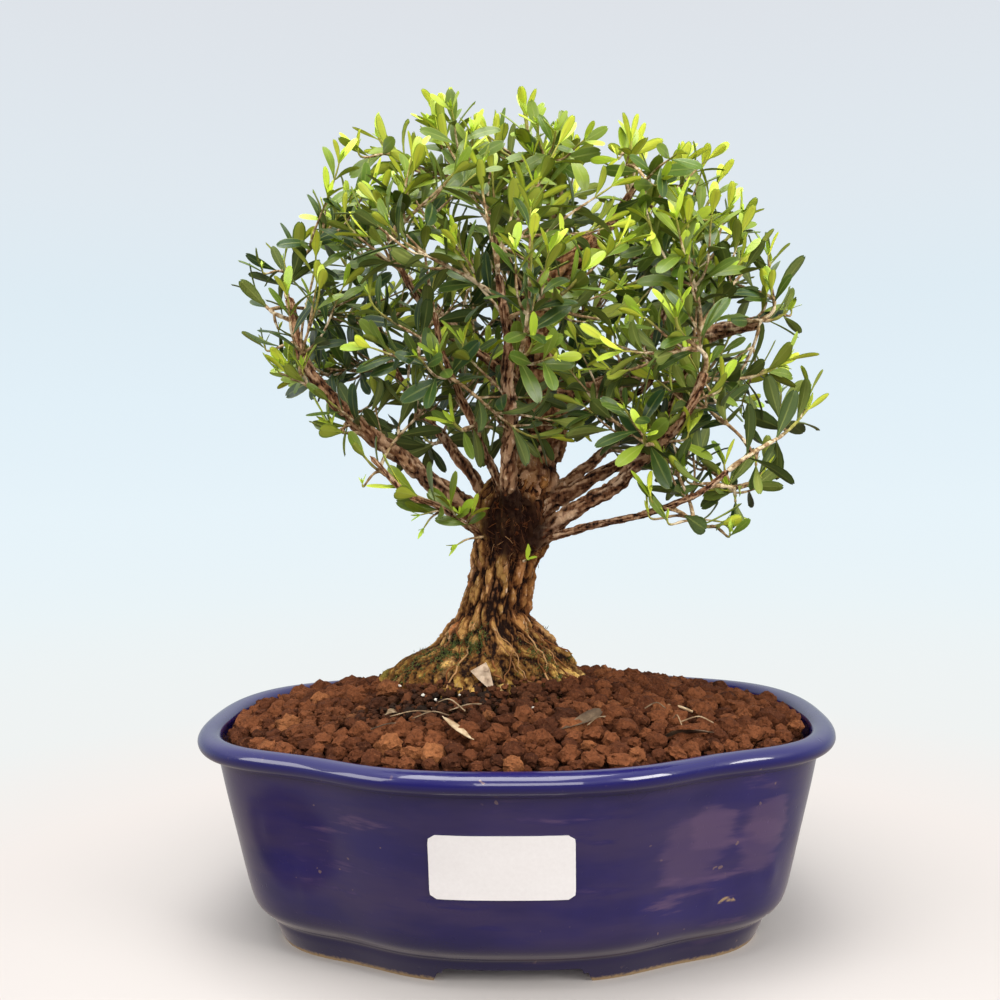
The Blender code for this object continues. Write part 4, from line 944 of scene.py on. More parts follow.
# %% Trunk skin
def make_trunk_skin(heap):
    table = smooth_route(TRUNK_SECTIONS, 0.9)
    order = np.argsort(table[:, 0])
    table = table[order]
    heights = np.concatenate([np.linspace(TRUNK_LOW, FOOT_TOP, TRUNK_ROWS * 2 // 5),
                              np.linspace(FOOT_TOP + 0.3, TRUNK_TOP, TRUNK_ROWS * 3 // 5)])
    columns = [np.interp(heights, table[:, 0], table[:, k]) for k in range(1, 6)]
    grain = np.concatenate([[0], np.cumsum(np.hypot(np.diff(heights), np.diff(columns[2])))])
    turns = np.arange(TRUNK_POINTS) * 2 * math.pi / TRUNK_POINTS
    points, depth, tones, moss = [], [], [], []
    for height, along, x, y, wide, deep, flutes in zip(heights, grain, *columns):
        foot = min(1.0, max(0.0, (FOOT_TOP - height) / FOOT_FADE))
        for turn in turns:
            swing = sum(weight * math.sin(lobes * turn + phase) for lobes, weight, phase in ROOT_LOBES)
            swing *= 1.0 if swing > 0 else 1 + 0.7 * foot
            plate, fine, flakes, tone = furrows(turn, along, foot)
            relief = (1.7 + 0.7 * foot) * (plate - 0.78) + (0.6 + 0.7 * foot) * (fine - 0.7)
            relief += (0.30 + 0.35 * foot) * flakes
            share = 1 + flutes * swing - 0.13 * foot * max(0.0, math.cos(turn)) ** 2
            points.append((x + (wide * share + relief) * math.cos(turn),
                           y + (deep * share + relief) * math.sin(turn),
                           height + 0.5 * foot * flakes))
            depth.append(1 - 0.62 * plate - 0.38 * fine)
            tones.append(tone)
            at = Vector((points[-1][0] * 0.16, points[-1][1] * 0.16, height * 0.16))
            moss.append(foot * max(0.0, noise.noise(at) + 0.05 + 0.25 * plate))
    rows = len(heights)
    top = (rows - 1) * TRUNK_POINTS
    heap.add(points, [grid_quads(rows, TRUNK_POINTS), [list(range(TRUNK_POINTS))[::-1]],
                      [list(range(top, top + TRUNK_POINTS))]],
             depth=depth, tone=tones, moss=moss, limb=0.0, cut=0.0)
    return np.array(points).reshape(rows, TRUNK_POINTS, 3)


# %% [markdown]
# Each limb is a tube along a route of a few points, and a smooth curve runs through them. Its radius
# shrinks to the tip and swells where it leaves the trunk. A Curve with a bevel could make such a
# tube, but points made one by one can also carry the plates of bark. Two old limbs end in a saw cut.

# %% Limbs
LIMBS = {
    "leader": (((3, 5, 136), (8, 6, 150), (12, 7, 160), (9, 7, 174), (8, 8, 188),
                (10, 8, 200), (16, 8, 212), (23, 8, 219), (30, 8, 224)), 9.0, 3.6),
    "left": (((-8, 2, 130), (-26, -8, 145), (-42, -14, 158), (-58, -16, 173),
              (-66, -14, 186), (-71, -10, 204)), 3.7, 1.4),
    "left_back": (((-6, 6, 136), (-17, 10, 151), (-28, 20, 164), (-38, 30, 177),
                   (-46, 40, 192), (-50, 46, 206)), 2.2, 1.1),
    "left_thin": (((-2, -4, 139), (-12, -18, 164), (-19, -26, 182), (-22, -30, 196)), 1.6, 0.9),
    "inner_left": (((7, 4, 172), (-9, -8, 185), (-22, -14, 194), (-33, -25, 211)), 1.7, 1.0),
    "front": (((0, -3, 131), (0, -16, 143), (0, -20, 152), (1, -26, 167), (0, -34, 189),
               (-2, -40, 206)), 3.2, 1.3),
    "low_left": (((-6, 1, 123), (-22, -16, 136), (-31, -22, 140), (-42, -28, 152)), 1.2, 0.8),
    "right": (((8, 2, 132), (24, -4, 143), (41, -12, 153), (50, -16, 164), (58, -20, 183)), 2.8, 1.3),
    "right_low": (((4, 0, 121), (20, -10, 134), (35, -18, 144), (52, -34, 162),
                   (58, -42, 176)), 3.3, 1.4),
    "right_thin": (((6, -2, 123), (23, -13, 129), (42, -28, 134), (56, -38, 140),
                    (65, -41, 147)), 1.5, 0.9),
    "right_back": (((6, 6, 136), (23, 12, 146), (42, 32, 162), (54, 44, 174), (62, 50, 186)), 2.3, 1.1),
    "front_right": (((10, 4, 161), (24, -10, 166), (40, -22, 171), (46, -30, 178)), 1.5, 0.9),
    "right_stub": (((8, 7, 168), (30, 8, 175), (47, 8, 182), (62, 6, 189), (83, 2, 196)), 3.6, 2.4),
    "right_riser": (((44, 8, 181), (52, 14, 198), (56, 18, 214)), 1.9, 1.1),
    "top_left": (((9, 8, 196), (0, 4, 216), (-6, 0, 232)), 2.0, 1.1),
    "top": (((15, 8, 210), (16, 14, 228), (18, 16, 242)), 2.0, 1.1),
    "top_right": (((24, 8, 219), (34, 2, 228), (42, -4, 240)), 1.9, 1.1),
    "back": (((4, 8, 138), (2, 26, 152), (-4, 42, 170), (-10, 50, 188)), 3.0, 1.2),
    "back_right": (((9, 10, 160), (18, 30, 176), (26, 44, 196)), 2.4, 1.2),
    "back_high": (((8, 10, 182), (2, 28, 200), (-6, 38, 220)), 2.2, 1.1),
    "back_left_high": (((6, 8, 176), (-16, 18, 194), (-34, 24, 214)), 1.9, 1.0),
}
SAWN_LIMBS = ("leader", "right_stub")


def add_limb(heap, name, points, root_radius, end_radius, index):
    """One limb with a swollen root, flaking bark and, where it was sawn, a rough round end."""
    route = smooth_route(points, 0.9 if root_radius > 3 else 0.75)
    wander = np.array([[noise.noise(Vector((i * 0.06, k * 9.0, index * 7.0))) for k in range(3)]
                       for i in range(len(route))])
    ease = np.minimum(1, np.arange(len(route)) / 12)[:, None]
    route = route + wander * ease * 0.55 * min(root_radius, 2.5)
    share = np.linspace(0, 1, len(route))
    sides = 40 if root_radius > 5 else 24 if root_radius > 2.5 else 16
    radii = root_radius + (end_radius - root_radius) * share
    grid, out, along, turn = sweep(route, radii, sides)
    swell = 1 + 0.28 * np.exp(-along / 7.0)
    scale = 2.6 if root_radius > 5 else 1.25
    relief = np.zeros(grid.shape[:2])
    tones = np.zeros(grid.shape[:2])
    for row in range(len(route)):
        for column in range(sides):
            angle, up = turn[row, column], along[row, column]
            at = Vector((math.cos(angle) * scale, math.sin(angle) * scale, up * 0.13 + index * 11))
            plate, tones[row, column] = plate_at(at + 0.4 * noise.noise_vector(at * 1.7))
            rough = Vector((math.cos(angle) * 2.6, math.sin(angle) * 2.6, up * 0.6 + index * 5))
            flake = noise.fractal(rough, 0.8, 2.1, 2)
            relief[row, column] = plate + 0.55 * flake
    strength = 0.18 if root_radius > 5 else 0.26
    factor = swell * (1 + strength * (relief - 0.75))
    grid = route[:, None] + (grid - route[:, None]) * factor[:, :, None]
    sawn = name in SAWN_LIMBS
    rows, tip = len(route), route[-1]
    if not sawn:
        grid[-1] = tip + (grid[-1] - tip) * 0.45
    last = (rows - 1) * sides
    centre = tip + unit(route[-1] - route[-2]) * (0.4 if sawn else 0.8)
    points = np.concatenate([grid.reshape(-1, 3), centre[None]])
    fan = [[last + i, last + (i + 1) % sides, rows * sides] for i in range(sides)]
    depth = np.append((0.70 - 0.8 * relief).clip(0, 1), 0.6)
    cut = np.zeros(len(points))
    if sawn:
        cut[last:] = 1
    limb = 1.0 if root_radius < 5 else 0.55
    heap.add(points, [grid_quads(rows, sides), [list(range(sides))[::-1]], fan],
             depth=depth.ravel(), tone=np.append(tones, 0.5), moss=0.0, limb=limb, cut=cut)


# %% [markdown]
# Bark colour follows the relief: ochre on the ridges with pale painted highlights on their tops,
# red-brown on their flanks and nearly black in the clefts, a darkening that is partly the bark's own
# and partly painted shade. The foot is yellower, with moss in its damp hollows. The fork is darker,
# flecked with orange, and the right flank is redder.

# %% Bark
def bark_finish():
    bark = Finish("bark", Roughness=0.9, Specular_IOR_Level=0.10)
    place = bark.place()
    height = bark.height_of(place)
    side = bark.height_of(place, "X")
    depth, tone = bark.mark("depth"), bark.mark("tone")
    fibre = bark.speckle(1.0, 5.0, bark.stretched(place, (1300.0, 1300.0, 300.0)))
    patch = bark.speckle(75.0, 3.0)
    flake = bark.speckle(420.0, 5.0)
    level = (depth * 1.05 + (fibre - 0.5) * 0.9 + (flake - 0.5) * 0.9).clipped()
    wood = bark.ramp(tone, (0.0, (0.36, 0.200, 0.060)), (0.30, (0.50, 0.255, 0.080)),
                     (0.60, (0.62, 0.345, 0.165)), (0.85, (0.44, 0.155, 0.048)), (1.0, (0.70, 0.46, 0.27)))
    foot = bark.ramp(tone, (0.0, (0.40, 0.240, 0.055)), (0.35, (0.70, 0.430, 0.115)),
                     (0.65, (0.84, 0.58, 0.23)), (1.0, (0.50, 0.225, 0.070)))
    limb = bark.ramp(tone, (0.0, (0.42, 0.235, 0.125)), (0.5, (0.56, 0.345, 0.205)),
                     (1.0, (0.66, 0.47, 0.31)))
    low = bark.between(patch * 0.014 + height, 0.088, 0.104, 1.0, 0.0)
    back = bark.mix(low, wood, foot)
    red = bark.between(patch * 0.012 + side, 0.001, 0.009) * bark.between(height, 0.093, 0.101) * 0.42
    back = bark.mix(red, back, (0.42, 0.135, 0.040))
    back = bark.mix(bark.mark("limb"), back, limb)
    # Darker down the flanks and nearly black in the clefts: partly the bark's own colour, partly painted
    # shade in the furrows.
    flank = bark.mix(0.78, back, (0.105, 0.028, 0.009))
    colour = bark.mix(bark.between(level, 0.16, 0.56), back, flank)
    colour = bark.mix(bark.between(level, 0.52, 0.92), colour, (0.014, 0.006, 0.004))
    # Pale tan on the ridge tops is a painted highlight.
    pale = bark.between(fibre * 0.5 + flake * 0.5, 0.52, 0.64) * bark.between(depth, 0.0, 0.40, 0.85, 0.0)
    colour = bark.mix(pale, colour, (0.86, 0.62, 0.41))
    fork = bark.between(bark.near((1.5, -10.0, 130.0), 23.0) + (patch - 0.5) * 0.6, 0.34, 0.60)
    embers = bark.between(flake, 0.60, 0.70) * 0.7
    colour = bark.mix(fork * 0.94, colour, bark.mix(embers, (0.022, 0.008, 0.005), (0.24, 0.065, 0.018)))
    green = bark.between(bark.mark("moss") + (flake - 0.5) * 0.9, 0.50, 0.68) * 0.60
    colour = bark.mix(green, colour, bark.mix(fibre, (0.030, 0.050, 0.008), (0.130, 0.155, 0.028)))
    colour = bark.mix(bark.mark("cut"), colour, bark.mix(flake, (0.20, 0.13, 0.075), (0.42, 0.31, 0.20)))
    bark.set(Base_Color=colour)
    bark.set(Normal=bark.bump(fibre * 0.9 + flake, 1.4, 1.0))
    return bark.material


def make_wood(finish):
    heap = Heap()
    skin = make_trunk_skin(heap)
    for index, (name, (points, root_radius, end_radius)) in enumerate(LIMBS.items()):
        add_limb(heap, name, points, root_radius, end_radius, index)
    wood = heap.build("old_wood", [finish])
    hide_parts("trunk")
    return skin


bark = bark_finish()
trunk_skin = make_wood(bark)

# %% [markdown]
# Boxwood leaves stand in opposite pairs, each pair turned a quarter from the one below. The blade is
# spoon-shaped with a short stalk, a small notch at the tip, a pale midrib in a shallow fold and a
# margin that curls back. One blade is written as a grid of points, thin at the edge and thickest on
# the rib, and every leaf is that grid bent, turned and scaled.

# %% A leaf blade
LEAF_LENGTH = 16.5
LEAF_WIDTH = 5.6
BLADE_STATIONS = (0.0, 0.09, 0.22, 0.40, 0.58, 0.74, 0.87, 0.96, 1.0)
BLADE_WIDTHS = (0.11, 0.14, 0.38, 0.75, 0.97, 0.97, 0.80, 0.48, 0.15)
BLADE_COLUMNS = (-1.0, -0.55, 0.0, 0.55, 1.0)
BLADE_THICKNESS = 0.34
BLADE_SLIMNESS = 0.90


def blade_faces():
    """Quads of the upper and lower skins, which share the points of the edge."""
    rows, columns = len(BLADE_STATIONS), len(BLADE_COLUMNS)
    upper = np.arange(rows * columns).reshape(rows, columns)
    lower = upper.copy()
    lower[1:-1, 1:-1] = rows * columns + np.arange((rows - 2) * (columns - 2)).reshape(rows - 2, columns - 2)
    quads = []
    for skin, flip in ((upper, False), (lower, True)):
        for i in range(rows - 1):
            for j in range(columns - 1):
                quad = [skin[i, j], skin[i, j + 1], skin[i + 1, j + 1], skin[i + 1, j]]
                quads.append(quad[::-1] if flip else quad)
    return np.array(quads)


BLADE_FACES = blade_faces()


# %% One leaf
def add_leaf(heap, leaf, curl, fold, twist, age, tone, slot=1):
    """One leaf: recurved by `curl`, folded along its rib, with its marks."""
    place, direction, upper, length, width = leaf[:5]
    across = np.cross(upper, direction)
    u = np.array(BLADE_STATIONS)[:, None]
    v = np.array(BLADE_COLUMNS)[None]
    half = BLADE_SLIMNESS * width / 2 * np.array(BLADE_WIDTHS)[:, None]
    wide = half * v
    notch = np.where(u > 0.95, 0.035 * (1 - np.abs(v)), 0.0)
    turn = curl * u
    ahead = length * (np.sin(turn) / curl if abs(curl) > 1e-3 else u) - notch * length
    lift = -length * ((1 - np.cos(turn)) / curl if abs(curl) > 1e-3 else 0 * u)
    lift = lift + fold * half * np.abs(v) ** 1.3 - 0.10 * half * np.abs(v) ** 4
    swing = twist * u
    side = wide * np.cos(swing)
    lift = lift + wide * np.sin(swing)
    belly = BLADE_THICKNESS / 2 * (1 - np.abs(v) ** 2) + 0 * u
    belly[[0, -1]] *= 0.4
    rib = np.exp(-((v / 0.22) ** 2)) * 0.10 + 0 * u
    top = np.stack([ahead + 0 * v, side, lift + belly - rib * 0.5], axis=2).reshape(-1, 3)
    bottom = np.stack([ahead + 0 * v, side, lift - belly - rib], axis=2)[1:-1, 1:-1].reshape(-1, 3)
    points = np.concatenate([top, bottom])
    world = place + points[:, :1] * direction + points[:, 1:2] * across + points[:, 2:] * upper
    middle = np.concatenate([(1 - np.abs(v) + 0 * u).ravel(), (1 - np.abs(v) + 0 * u)[1:-1, 1:-1].ravel()])
    length_mark = np.concatenate([(u + 0 * v).ravel(), (u + 0 * v)[1:-1, 1:-1].ravel()])
    under = np.concatenate([np.zeros(len(top)), np.ones(len(bottom))])
    heap.add(world, [BLADE_FACES], slot, rib=middle, reach=length_mark, under=under, age=age, tone=tone)


print("one blade:", 2 * len(BLADE_FACES), "triangles")

# %% [markdown]
# The shoots follow one rule. Tips are set on the crown's outline, with more by a golden spiral round
# the back. Each tip picks the nearest fitting limb and grows a curved stem from it, clear of the
# others, and its leaves sit in pairs from the tip back. Every random draw is seeded, so the shoots
# are the same ones as in the solids.

# %% Where shoots grow
SHOOT_TIPS = (
    (-87, -8, 214), (-77, 2, 226), (-75, -20, 188), (-63, -24, 169), (-50, -27, 160),
    (-60, -2, 238), (-47, 4, 266), (-31, -30, 246), (-24, 0, 272), (-10, 10, 268),
    (5, -2, 273), (11, -40, 241), (20, 14, 262), (31, 16, 266), (41, -10, 260),
    (61, -2, 254), (74, 12, 252), (55, -42, 228), (80, -4, 236), (90, 8, 224),
    (96, -8, 204), (93, -22, 186), (99, -16, 172), (84, -26, 150), (72, -38, 134),
    (-18, -50, 220), (27, -52, 212), (48, -56, 199), (-43, -40, 192), (-22, -50, 188),
    (10, -56, 190), (40, -52, 164), (-20, -36, 168),
)
CROWN_CENTRE = (6.0, 2.0, 204.0)
CROWN_RADII = (90.0, 74.0, 66.0)
TIP_SPACING = 36.0
TIP_CANDIDATES = 500
SHOOT_LIMIT = 48
LEFT_OUT = (14,)
BARE_TRUNK_HALF_WIDTH = 30.0
BARE_TRUNK_TOP = 168.0
REACH = (103.5, 83.0)
EYE = (8.7, -388.0, 151.3)
EDGE_CENTRE = (6.0, 200.0)
# the crown's reach at every ten degrees, seen from the front
CROWN_EDGE = (86, 89, 87, 81, 85, 70, 72, 67, 64, 75, 72, 81, 74, 84, 90, 79, 94, 98, 95, 91, 84, 78, 79,
              77, 80, 72, 66, 60, 58, 60, 66, 98, 101, 101, 102, 96)
EDGE_SLACK = 1.03
FIRST_SHARE_OF_LIMB = 0.3
THICKEST_BEARING_LIMB = 3.4
LEAST_RISE = 8.0
DESCENT_COST = 1.5
CROWDING_REACH = 7.0
CROWDING_COST = 14.0
BEND_COST = 14.0
SHORTEST_SHOOT = 22.0
SHORT_COST = 40.0
SHOOT_ATTEMPTS = 14
NUDGE = 1.3
LIMB_ROOM = 2.6
SHOOT_ROOM = 2.2
TIP_LEAF_REACH = 9.0
TWIG_RADIUS = 0.8


# %% Routes of the shoots
def limb_stations():
    """Points along every limb with the limb's direction, radius and share of its length."""
    stations = []
    for points, root_radius, end_radius in LIMBS.values():
        route = smooth_route(points, 4.0)
        ways = np.gradient(route, axis=0)
        for i, (place, way) in enumerate(zip(route, ways)):
            share = i / (len(route) - 1)
            radius = root_radius + (end_radius - root_radius) * share
            stations.append((place, unit(way), radius, share))
    return stations


def crown_tips():
    tips = [np.array(tip, float) for tip in SHOOT_TIPS]
    draw = random.Random(SEED + 1)
    centre = np.array(CROWN_CENTRE)
    for i in range(TIP_CANDIDATES):
        height = 1 - 2 * (i + 0.5) / TIP_CANDIDATES
        turn = i * math.pi * (3 - math.sqrt(5))
        flat = math.sqrt(1 - height * height)
        way = np.array([flat * math.cos(turn), flat * math.sin(turn), height])
        tip = centre + way * np.array(CROWN_RADII) * draw.uniform(0.93, 1.05)
        beside_trunk = abs(tip[0] - centre[0]) < BARE_TRUNK_HALF_WIDTH and tip[2] < BARE_TRUNK_TOP
        if height < -0.8 or beside_trunk:
            continue
        if min(np.linalg.norm(tip - other) for other in tips) > TIP_SPACING:
            tips.append(tip)
    return tips[:SHOOT_LIMIT]


def bezier(a, b, c, d, steps=24):
    t = np.linspace(0, 1, steps + 1)[:, None]
    return (1 - t) ** 3 * a + 3 * (1 - t) ** 2 * t * b + 3 * (1 - t) * t**2 * c + t**3 * d


def nearest(route, others):
    if not len(others):
        return 1e9
    return float(np.linalg.norm(route[:, None] - others[None], axis=2).min())


def grow_shoots():
    """A curved route from a limb to each tip, kept clear of the limbs and of the other shoots."""
    stations = limb_stations()
    places = np.array([place for place, _, _, _ in stations])
    draw = random.Random(SEED + 2)
    used = []
    routes = []
    for tip in crown_tips():
        best = None
        for place, way, radius, share in stations:
            if share < FIRST_SHARE_OF_LIMB or radius > THICKEST_BEARING_LIMB:
                continue
            reach = float(np.linalg.norm(tip - place))
            below = max(0.0, place[2] - tip[2] + LEAST_RISE)
            crowding = sum(CROWDING_COST for other in used if np.linalg.norm(place - other) < CROWDING_REACH)
            bend = BEND_COST * (1 - float(unit(tip - place) @ way))
            short = SHORT_COST if reach < SHORTEST_SHOOT else 0.0
            cost = reach + DESCENT_COST * below + crowding + bend + short
            if best is None or cost < best[0]:
                best = (cost, place, way, radius, share)
        _, place, way, radius, share = best
        used.append(place)
        reach = float(np.linalg.norm(tip - place))
        out = unit(tip - place)
        side = unit(out - way * float(out @ way) * 0.8)
        leave = way if share > 0.97 else unit(side + 0.35 * way)
        end = unit(0.7 * out + np.array([0, 0, 0.55]) + 0.25 * unit(tip - np.array(CROWN_CENTRE)))
        tip = tip - end * TIP_LEAF_REACH
        far = places[np.linalg.norm(places - place, axis=1) > 2 * CROWDING_REACH]
        others = np.array([point for route in routes for point in route[6:]])
        chosen = None
        for attempt in range(SHOOT_ATTEMPTS):
            nudge = np.array([draw.uniform(-1, 1) for _ in range(3)]) * attempt * NUDGE
            route = bezier(place, place + leave * reach * 0.33, tip - end * reach * 0.33 + nudge, tip)
            room = min(nearest(route[6:], far) - LIMB_ROOM, nearest(route[6:], others) - SHOOT_ROOM)
            if chosen is None or room > chosen[0]:
                chosen = (room, route)
            if room > 0.6:
                break
        routes.append(chosen[1])
    return routes


# %% [markdown]
# A shoot's leaves are laid from its tip back: two at a joint, facing each other, and the next two a
# quarter turn on. The youngest pair is smaller and half closed. Short side shoots rise from some
# axils, and each spray has a second shoot that grows to the emptiest place within its reach.

# %% Leaves on a shoot
INTERNODE = 7.6
LEAFY_LENGTH = 56.0
LEAF_SPREAD = math.radians(52)
TIP_CLOSING = math.radians(30)
SPREAD_SCATTER = math.radians(9)
TIP_SHRINK = 0.36
SIDE_SHARE = 0.6
SIDE_LENGTHS = (14.0, 27.0)
SIDE_SIZE = 0.88


def distances(route):
    steps = np.linalg.norm(np.diff(route, axis=0), axis=1)
    return np.concatenate([[0], np.cumsum(steps)])


def stem_frame(route, along, here):
    """Place on the stem at this distance, the stem's direction and two directions across it."""
    place = np.array([np.interp(here, along, route[:, k]) for k in range(3)])
    ahead = np.array([np.interp(here + 1.5, along, route[:, k]) for k in range(3)])
    behind = np.array([np.interp(here - 1.5, along, route[:, k]) for k in range(3)])
    way = unit(ahead - behind)
    across = unit(np.cross(way, (0.3, 0.2, 1.0)))
    return place, way, across, np.cross(way, across)


def leaf_places(route, draw, size=1.0):
    """The stem's turn, and its opposite pairs of leaves from the tip down, each a quarter turn on.

    A leaf is: place, direction, upper side, length, width, pair, distance from the tip, face.
    """
    along = distances(route)
    leaves = []
    back = 1.0
    turn = draw.uniform(0, math.pi)
    pair = 0
    while back < min(LEAFY_LENGTH, 0.86 * along[-1]):
        place, way, across, other = stem_frame(route, along, along[-1] - back)
        young = max(0.0, 1 - pair / 2)
        for side in (0, 2):
            face = (pair + side) % 4
            angle = turn + face * math.pi / 2 + draw.uniform(-0.25, 0.25)
            spread = LEAF_SPREAD - TIP_CLOSING * young + draw.uniform(-1, 1) * SPREAD_SCATTER
            out = across * math.cos(angle) + other * math.sin(angle)
            direction = unit(way * math.cos(spread) + out * math.sin(spread))
            upper = unit(way - direction * float(way @ direction))
            scale = size * (1 - TIP_SHRINK * young) * draw.uniform(0.84, 1.12)
            width = LEAF_WIDTH * scale * draw.uniform(0.9, 1.1)
            leaves.append((place, direction, upper, LEAF_LENGTH * scale, width, pair, back, face))
        back += INTERNODE * (0.75 + 0.25 * min(pair, 2) / 2) * draw.uniform(0.9, 1.12)
        pair += 1
    return turn, leaves


# %% Within the crown
def seen_reach(point):
    """Distance of a point from the crown's middle, seen from the front, as a share of the reach there."""
    scale = EYE[1] / (EYE[1] - point[1])
    across = EYE[0] + (point[0] - EYE[0]) * scale - EDGE_CENTRE[0]
    up = EYE[2] + (point[2] - EYE[2]) * scale - EDGE_CENTRE[1]
    angle = math.degrees(math.atan2(up, across)) % 360
    edge = np.interp(angle, range(0, 370, 10), (*CROWN_EDGE, CROWN_EDGE[0]))
    return math.hypot(across, up) / edge


def in_crown(point):
    return abs(point[0]) < REACH[0] and abs(point[1]) < REACH[1] and seen_reach(point) < EDGE_SLACK


def side_shoots(leaves, draw):
    """Short shoots that rise from the axils: pair, face, route, turn and leaves of each."""
    shoots = []
    for place, direction, upper, _, _, pair, back, face in leaves:
        chance = draw.random()
        reach = draw.uniform(*SIDE_LENGTHS)
        if pair < 2 or chance > SIDE_SHARE:
            continue
        rise = unit(0.8 * direction + 0.45 * upper + np.array([0, 0, 0.3]))
        tip = place + rise * reach
        if not in_crown(tip + rise * TIP_LEAF_REACH):
            continue
        route = bezier(place, place + direction * reach * 0.35, tip - rise * reach * 0.3, tip, 12)
        turn, own = leaf_places(route, draw, SIDE_SIZE)
        shoots.append((pair, back, face, route, turn, own))
    return shoots


# %% Second shoots
FORK_HEIGHT = 9.0
FORK_LENGTHS = (20.0, 38.0)
FORK_TRIES = 120
FORK_DEPTH = 0.86


def fork_shoots(routes):
    """For each spray a second shoot that grows to the emptiest place that it can reach: its route."""
    draw = random.Random(SEED + 3)
    centre = np.array(CROWN_CENTRE)
    filled = [point for route in routes for point in route[8::3]]
    forks = []
    for route in routes:
        place, way, _, _ = stem_frame(route, distances(route), FORK_HEIGHT)
        best = None
        for _ in range(FORK_TRIES):
            out = unit(np.array([draw.gauss(0, 1), draw.gauss(0, 1), draw.gauss(0.5, 0.7)]))
            tip = place + out * draw.uniform(*FORK_LENGTHS)
            if np.linalg.norm((tip - centre) / np.array(CROWN_RADII)) > FORK_DEPTH or seen_reach(tip) > 0.93:
                continue
            room = nearest(tip[None], np.array(filled)) + 4 * float(out @ way) + 3 * out[2]
            if best is None or room > best[0]:
                best = (room, tip, out)
        if best is None:
            forks.append(None)
            continue
        _, tip, out = best
        reach = float(np.linalg.norm(tip - place))
        rise = unit(out + np.array([0, 0, 0.8]))
        fork = bezier(place, place + unit(out + 0.4 * way) * reach * 0.35, tip - rise * reach * 0.3, tip, 16)
        forks.append(fork)
        filled += [*fork[5::3], tip]
    return forks


routes = grow_shoots()
forks = fork_shoots(routes)
print(len(routes), "shoots")

# %% [markdown]
# Leaf colour changes with how old a leaf is and with its side. New leaves at the tips are lime green, grown
# ones deep and glossy with a blue cast, and undersides are paler, matt and more yellow. The midrib is a pale
# line. Stems run from green at the end to tan, flaking bark. Shoots high in the crown are made fresher and
# lighter, for their new growth and as painted light from above; shoots in front and right of the middle
# are made fresher only as painted light from the key lamp.

# %% Leaf and twig finishes
def leaf_finish():
    leaf = Finish("boxwood_leaf", Roughness=0.36, Specular_IOR_Level=0.38)
    age, tone, under, rib = (leaf.mark(name) for name in ("age", "tone", "under", "rib"))
    patch = leaf.speckle(260.0, 3.0)
    vein = leaf.speckle(1400.0, 2.0)
    grown = leaf.mix(tone, (0.006, 0.022, 0.009), (0.025, 0.068, 0.011))
    grown = leaf.mix(leaf.between(patch, 0.40, 0.75) * 0.5, grown, (0.046, 0.078, 0.011))
    half = leaf.mix(tone, (0.075, 0.150, 0.013), (0.235, 0.310, 0.024))
    fresh = leaf.mix(tone, (0.34, 0.51, 0.030), (0.58, 0.68, 0.070))
    # The fresher colours also carry painted light, for shoots at the top and at the front right.
    upper = leaf.mix(leaf.between(age, 0.02, 0.42), grown, half)
    upper = leaf.mix(leaf.between(age, 0.42, 0.88), upper, fresh)
    back = leaf.mix(leaf.between(tone, 0.2, 0.9), (0.052, 0.086, 0.018), (0.140, 0.172, 0.032))
    back = leaf.mix(leaf.between(age, 0.05, 0.85), back, (0.62, 0.68, 0.050))
    colour = leaf.mix(leaf.between(under, 0.35, 0.65), upper, back)
    fading = leaf.between(leaf.mark("reach"), 0.0, 0.95, 0.90, 0.25)
    line = leaf.between(rib + vein * 0.05, 0.86, 0.99) * fading
    colour = leaf.mix(line * 0.60, colour, (0.34, 0.38, 0.085))
    edge = leaf.between(rib, 0.0, 0.20, 0.34, 0.0)
    colour = leaf.mix(edge, colour, (0.30, 0.34, 0.055))
    leaf.set(Base_Color=colour)
    leaf.set(Roughness=0.30 + 0.30 * under + 0.12 * patch)
    leaf.set(Normal=leaf.bump(vein * 0.5 + patch - line * 0.8, 0.16, 0.5))
    return leaf.material


def twig_finish():
    twig = Finish("twig_bark", Roughness=0.85, Specular_IOR_Level=0.15)
    flake = twig.speckle(620.0, 4.0)
    peel = twig.speckle(240.0, 3.0)
    reach = twig.mark("reach")
    bark_tone = twig.ramp(flake, (0.30, (0.060, 0.028, 0.012)), (0.46, (0.25, 0.150, 0.070)),
                          (0.62, (0.50, 0.355, 0.19)))
    cream = twig.between(peel + 0.3 * flake, 0.66, 0.76) * 0.75
    bark_tone = twig.mix(cream, bark_tone, (0.76, 0.63, 0.43))
    green = twig.mix(flake, (0.19, 0.19, 0.030), (0.44, 0.42, 0.095))
    ends = twig.between(reach + 0.5 * (peel - 0.5), 0.62, 0.86)
    twig.set(Base_Color=twig.mix(ends, bark_tone, green))
    twig.set(Normal=twig.bump(flake, 0.5, 1.0))
    return twig.material


foliage = [twig_finish(), leaf_finish()]

# %% Leafy sprays
TWIG_TAPER = 0.45
BUD_STATIONS = (0.0, 0.3, 0.65, 1.0)
BUD_WIDTHS = (0.25, 0.9, 1.0, 0.25)
BUD_LEAVES = 3


def add_bud_leaf(heap, place, way, out, length, tone):
    """A narrow new leaf in the bud at a shoot's end: a diamond section that tapers to both ends."""
    across = unit(np.cross(way, out))
    rows = []
    for station, width in zip(BUD_STATIONS, BUD_WIDTHS):
        middle = place + way * length * station + out * length * 0.16 * station**2
        half = 0.15 * length * width
        rows += [middle + across * half, middle + out * 0.12, middle - across * half, middle - out * 0.12]
    reach = np.repeat(BUD_STATIONS, 4)
    heap.add(rows, [grid_quads(4, 4), [[0, 1, 2, 3], [15, 14, 13, 12]]], 1,
             rib=np.tile((0.3, 1, 0.3, 0.6), 4), reach=reach, under=0.3, age=1.0, tone=tone)


